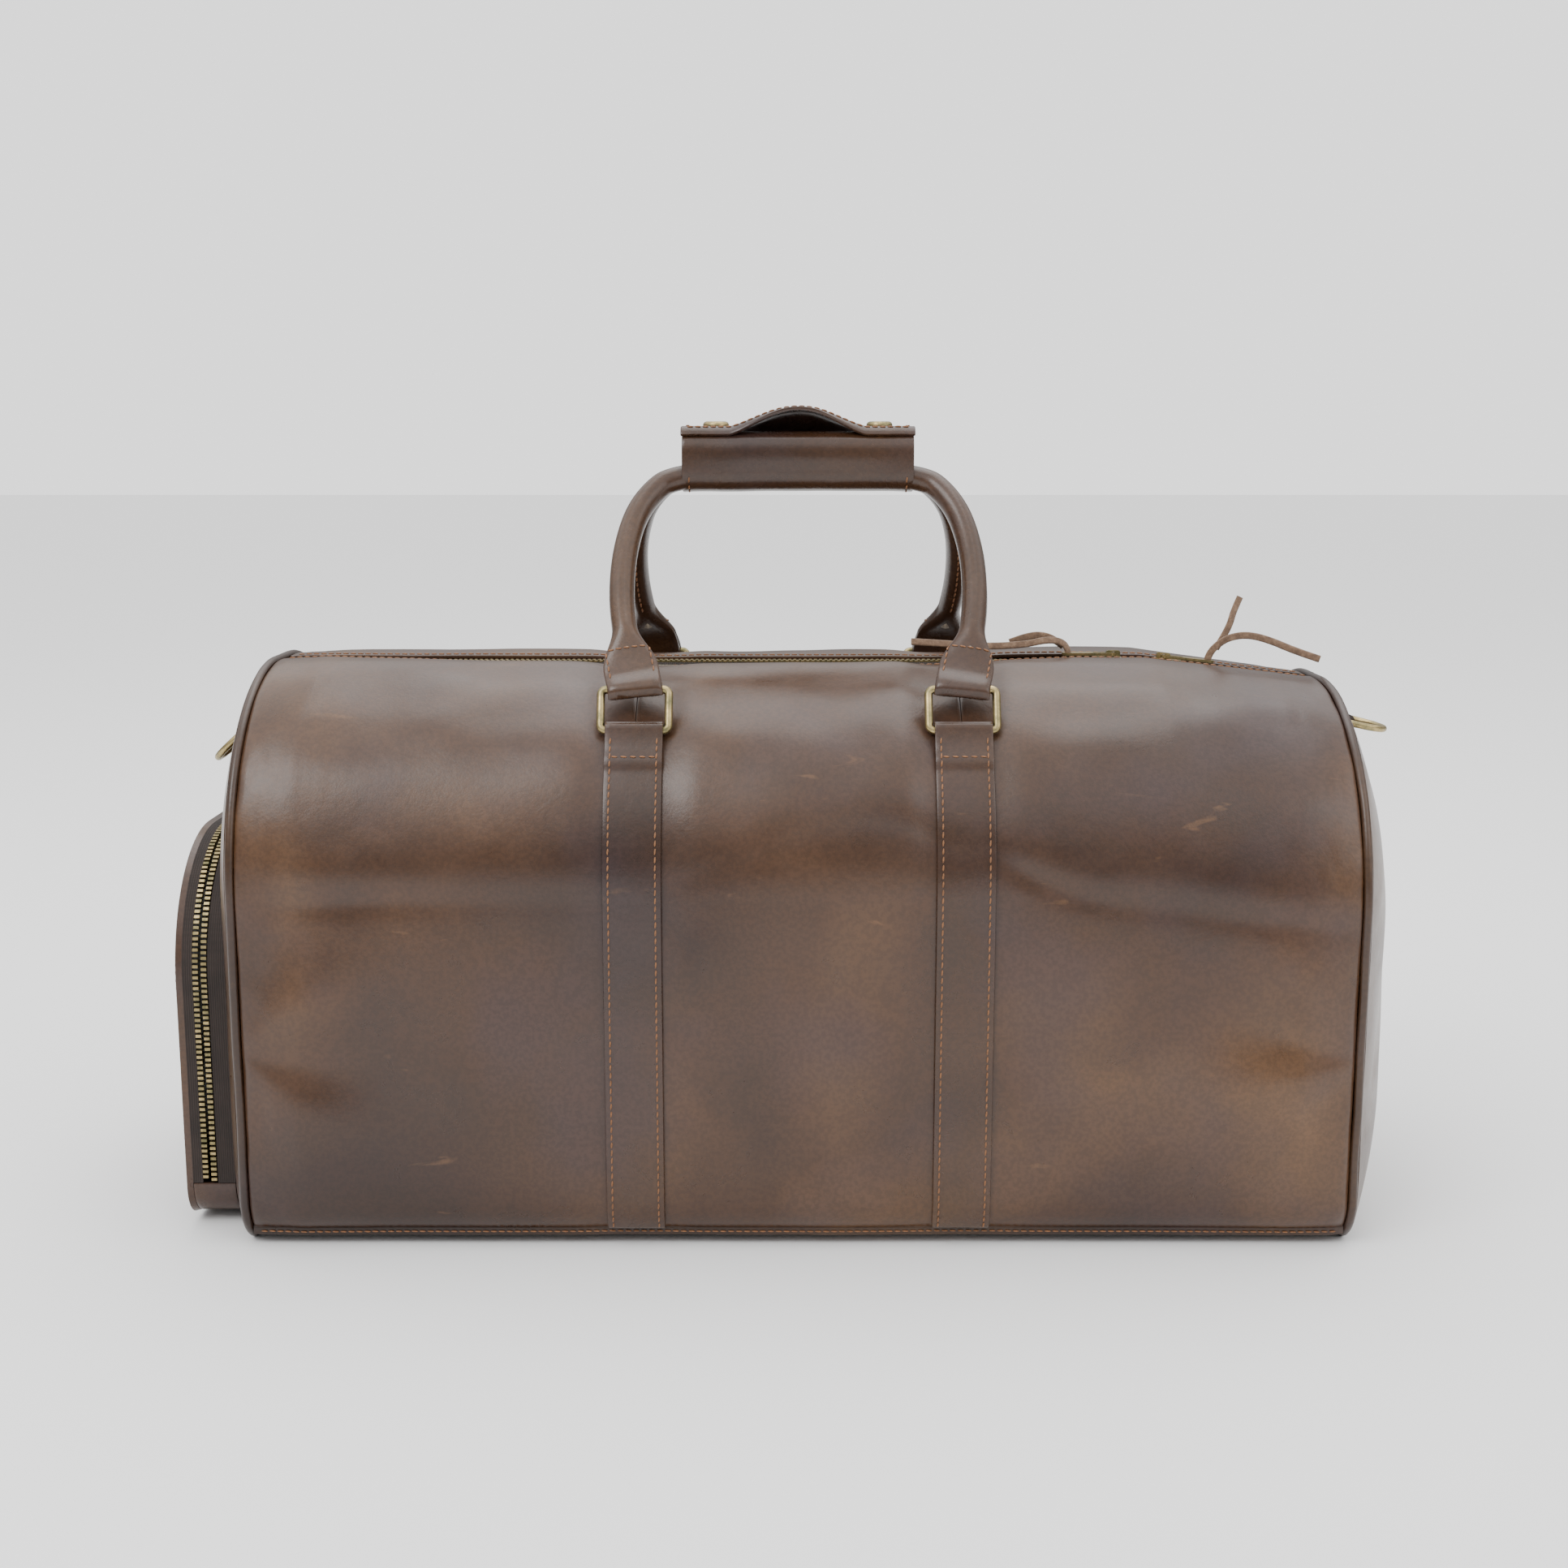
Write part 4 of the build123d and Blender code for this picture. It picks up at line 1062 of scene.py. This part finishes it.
class DUFFEL_OT_pocket(bpy.types.Operator):
    """The arched pocket on the left end: tapes, domed face, bottom gusset and stitching"""

    bl_idname = "duffel.pocket"
    bl_label = "End pocket"

    def execute(self, context):
        wall_x = inner_high[0] + 0.0030
        bands = {
            "inner": (wall_x, inner_low[0] + 0.0002, "pocket_tape_inner"),
            "outer": (outer_high[0] - 0.0002, outer_low[0] + 0.0010, "pocket_tape_outer"),
        }
        for word, (start, stop, node) in bands.items():

            def band(u, v):
                at, normal = along_arch(u)
                x = span(v, start, stop)
                points = np.stack([x, at[:, 0], at[:, 1]], axis=-1)
                return points, np.stack([x * 0, normal[:, 0], normal[:, 1]], axis=-1)

            piece = surface(f"pocket_{word}_tape", band, 220, 4)
            thicken(piece, 0.0008, round_edge=False)
            finish_piece(piece, "Zip tape", "bag", "zip_tape", node)

        rim_x = pocket_high[0] + 0.0012
        depth = rim_x - pocket_low[0]

        def face(u, v):
            at, normal = along_arch(u, close=True)
            middle = np.array([0.0, (pocket_low[2] + pocket_high[2]) / 2 - 0.004])
            turn_in = np.clip(v / 0.06, 0, 1)
            r = np.where(v < 0.06, 1.0 + 0.008 * np.sin(turn_in * pi / 2), 1.008 * (1 - (v - 0.06) / 0.94))
            spot = middle + (at - middle) * r[:, None]
            rolled = 0.0034 * np.sin(turn_in * pi / 2)
            inward = np.clip((v - 0.06) / 0.94, 0, 1)
            puff = (depth - 0.0034) * (1 - (1 - inward) ** 2.6)
            soft = 0.0012 * ripple(spot[:, 0], spot[:, 1], 1, 22.0, 6.1) * np.minimum(inward * 6, 1)
            x = rim_x - rolled - puff - soft
            edge = (1 - turn_in)[:, None]
            normals = np.concatenate([-1 + edge, normal * edge + 0.001 * normal], axis=1)
            return np.stack([x, spot[:, 0], spot[:, 1]], axis=-1), normals

        piece = surface("pocket_face", face, 200, 60, weld=True)
        thicken(piece, sizes().leather, round_edge=False)
        finish_piece(piece, "Leather", "bag", "body_leather", "pocket_face")
        marks = np.linspace(0, 1, 500)
        points, normals = face(marks, np.full_like(marks, 0.11))
        stitches("pocket_face_stitching", [(points + normals * stitch_lift, normals)], "bag")

        gusset_top = inner_low[2] - 0.0001

        def gusset(u, v):
            path = arch_path(close=True, count=1200)
            low = path[path[:, 1] <= gusset_top]
            low = low[np.argsort(np.arctan2(low[:, 1] - 0.12, low[:, 0]))]
            marks = np.linspace(0, 1, len(low))
            at = np.stack([np.interp(u, marks, low[:, k]) for k in (0, 1)], axis=1)
            middle = np.array([0.0, 0.12])
            normal = at - middle
            normal /= np.linalg.norm(normal, axis=1)[:, None]
            x = span(v, wall_x, rim_x)
            return (
                np.stack([x, at[:, 0], at[:, 1]], axis=-1),
                np.stack([x * 0, normal[:, 0], normal[:, 1]], axis=-1),
            )

        piece = surface("pocket_gusset", gusset, 140, 10)
        thicken(piece, sizes().leather)
        finish_piece(piece, "Leather", "bag", "body_leather", "pocket_bottom")
        return {"FINISHED"}


# ---- thongs -------------------------------------------------------------------------------------
# routes of the leather thongs from their pulls' slots, in metres
thongs = {
    "thong_left_long": (
        "left_pull",
        [
            (0.1575, 0.0, 0.3102),
            (0.1573, -0.0001, 0.3140),
            (0.1530, -0.0008, 0.3183),
            (0.1445, -0.0020, 0.3193),
            (0.1320, -0.0022, 0.3164),
            (0.1100, 0.0015, 0.3149),
            (0.0880, 0.0008, 0.3166),
            (0.0660, -0.0010, 0.3180),
        ],
        0.0974,
    ),
    "thong_left_short": (
        "left_pull",
        [
            (0.1550, 0.0029, 0.3150),
            (0.1490, 0.0036, 0.3195),
            (0.1410, 0.0046, 0.3216),
            (0.1320, 0.0054, 0.3200),
            (0.1240, 0.0060, 0.3168),
        ],
        0.0334,
    ),
    "thong_right_long": (
        "right_pull",
        [
            (0.2384, 0.0, 0.3060),
            (0.2389, -0.0001, 0.3098),
            (0.2430, -0.0008, 0.3155),
            (0.2500, -0.0016, 0.3205),
            (0.2610, -0.0022, 0.3223),
            (0.2740, -0.0032, 0.3190),
            (0.2880, -0.0050, 0.3130),
            (0.3020, -0.0075, 0.3085),
        ],
        0.0740,
    ),
    "thong_right_short": (
        "right_pull",
        [
            (0.2440, 0.0029, 0.3135),
            (0.2480, 0.0036, 0.3200),
            (0.2520, 0.0046, 0.3275),
            (0.2540, 0.0052, 0.3355),
            (0.2575, 0.0056, 0.3435),
        ],
        0.0332,
    ),
}


class DUFFEL_OT_thongs(bpy.types.Operator):
    """Flat leather thongs looped through the zip pulls"""

    bl_idname = "duffel.thongs"
    bl_label = "Thongs"

    def execute(self, context):
        for node, (body, route, length) in thongs.items():
            curve = bpy.data.curves.new(node, "CURVE")
            curve.dimensions = "3D"
            curve.extrude = 0.0013
            curve.bevel_depth = 0.0008
            curve.bevel_resolution = 2
            curve.use_fill_caps = True
            spline = curve.splines.new("NURBS")
            spline.points.add(len(route) - 1)
            for spot, point in zip(spline.points, route):
                spot.co = (*point, 1.0)
                spot.tilt = radians(8.0)
            spline.order_u = 3
            spline.use_endpoint_u = True
            spline.resolution_u = 10
            way, length_word = node.split("_")[1:]
            piece = bpy.data.objects.new(f"{length_word}_thong_{way}", curve)
            bpy.context.collection.objects.link(piece)
            finish_piece(piece, "Suede", body, "suede", node)
        return {"FINISHED"}


# ---- stage --------------------------------------------------------------------------------------
class DUFFEL_OT_stage(bpy.types.Operator):
    """Pale floor, soft studio light and the camera"""

    bl_idname = "duffel.stage"
    bl_label = "Stage"

    def execute(self, context):
        clear_selection()
        bpy.ops.mesh.primitive_plane_add(size=30.0, location=(0, 0, 0))
        floor = bpy.context.object
        floor.name = "floor"
        shader = start_material("Floor")[1]
        shader.inputs["Base Color"].default_value = (0.84, 0.84, 0.84, 1.0)
        shader.inputs["Roughness"].default_value = 0.9
        floor.data.materials.append(bpy.data.materials["Floor"])
        world = bpy.data.worlds.new("Studio")
        bpy.context.scene.world = world
        world.use_nodes = True
        sky = world.node_tree
        where = sky.nodes.new("ShaderNodeTexCoord")
        height = sky.nodes.new("ShaderNodeSeparateXYZ")
        sky.links.new(where.outputs["Generated"], height.inputs["Vector"])
        glow = ramp(sky, height.outputs["Z"], (0.02, grey(0.16)), (0.30, grey(0.30)), (0.62, grey(1.0)))
        rays = sky.nodes.new("ShaderNodeLightPath")
        shown = blend_colour(sky, rays.outputs["Is Camera Ray"], glow, grey(0.86))
        sky.links.new(shown, sky.nodes["Background"].inputs["Color"])
        sky.nodes["Background"].inputs["Strength"].default_value = 2.0
        lights = {
            "key": ((-1.4, -1.6, 2.2), 38.0, 1.4),
            "fill": ((1.9, -1.3, 1.3), 14.0, 1.6),
            "top": ((0.1, 0.5, 2.4), 26.0, 1.8),
        }
        for name, (spot, power, size) in lights.items():
            light = bpy.data.lights.new(name, "AREA")
            light.energy = power
            light.size = size
            lamp = bpy.data.objects.new(name, light)
            bpy.context.collection.objects.link(lamp)
            lamp.location = spot
            lamp.rotation_euler = (Vector((0, 0, 0.2)) - Vector(spot)).to_track_quat("-Z", "Y").to_euler()
        camera = bpy.data.cameras.new("camera")
        camera.lens = 44.6
        camera.sensor_width = 36.0
        shot = bpy.data.objects.new("camera", camera)
        bpy.context.collection.objects.link(shot)
        shot.location = (-0.0079, -1.1266, 0.4325)
        shot.rotation_euler = (radians(80.0), 0.0, 0.0)
        bpy.context.scene.camera = shot
        return {"FINISHED"}


class DUFFEL_PT_panel(bpy.types.Panel):
    """Lists the duffel bag's operators and sizes"""

    bl_label = "Duffel"
    bl_idname = "DUFFEL_PT_panel"
    bl_space_type = "VIEW_3D"
    bl_region_type = "UI"
    bl_category = "Duffel"

    def draw(self, context):
        for group in (context.scene.duffel_sizes, context.scene.duffel_colours):
            for name in group.__annotations__:
                self.layout.prop(group, name)
        for operator in operators:
            self.layout.operator(operator.bl_idname)


operators = (
    DUFFEL_OT_materials,
    DUFFEL_OT_panels,
    DUFFEL_OT_ends,
    DUFFEL_OT_straps,
    DUFFEL_OT_handles,
    DUFFEL_OT_rings,
    DUFFEL_OT_wrap,
    DUFFEL_OT_zip,
    DUFFEL_OT_pocket,
    DUFFEL_OT_thongs,
    DUFFEL_OT_stage,
)
classes = (DuffelSizes, DuffelColours, *operators, DUFFEL_PT_panel)


def register():
    for item in classes:
        bpy.utils.register_class(item)
    bpy.types.Scene.duffel_sizes = bpy.props.PointerProperty(type=DuffelSizes)
    bpy.types.Scene.duffel_colours = bpy.props.PointerProperty(type=DuffelColours)


def unregister():
    del bpy.types.Scene.duffel_colours
    del bpy.types.Scene.duffel_sizes
    for item in reversed(classes):
        bpy.utils.unregister_class(item)


def main():
    register()
    for operator in operators:
        space, name = operator.bl_idname.split(".")
        getattr(getattr(bpy.ops, space), name)()


if __name__ == "__main__":
    main()
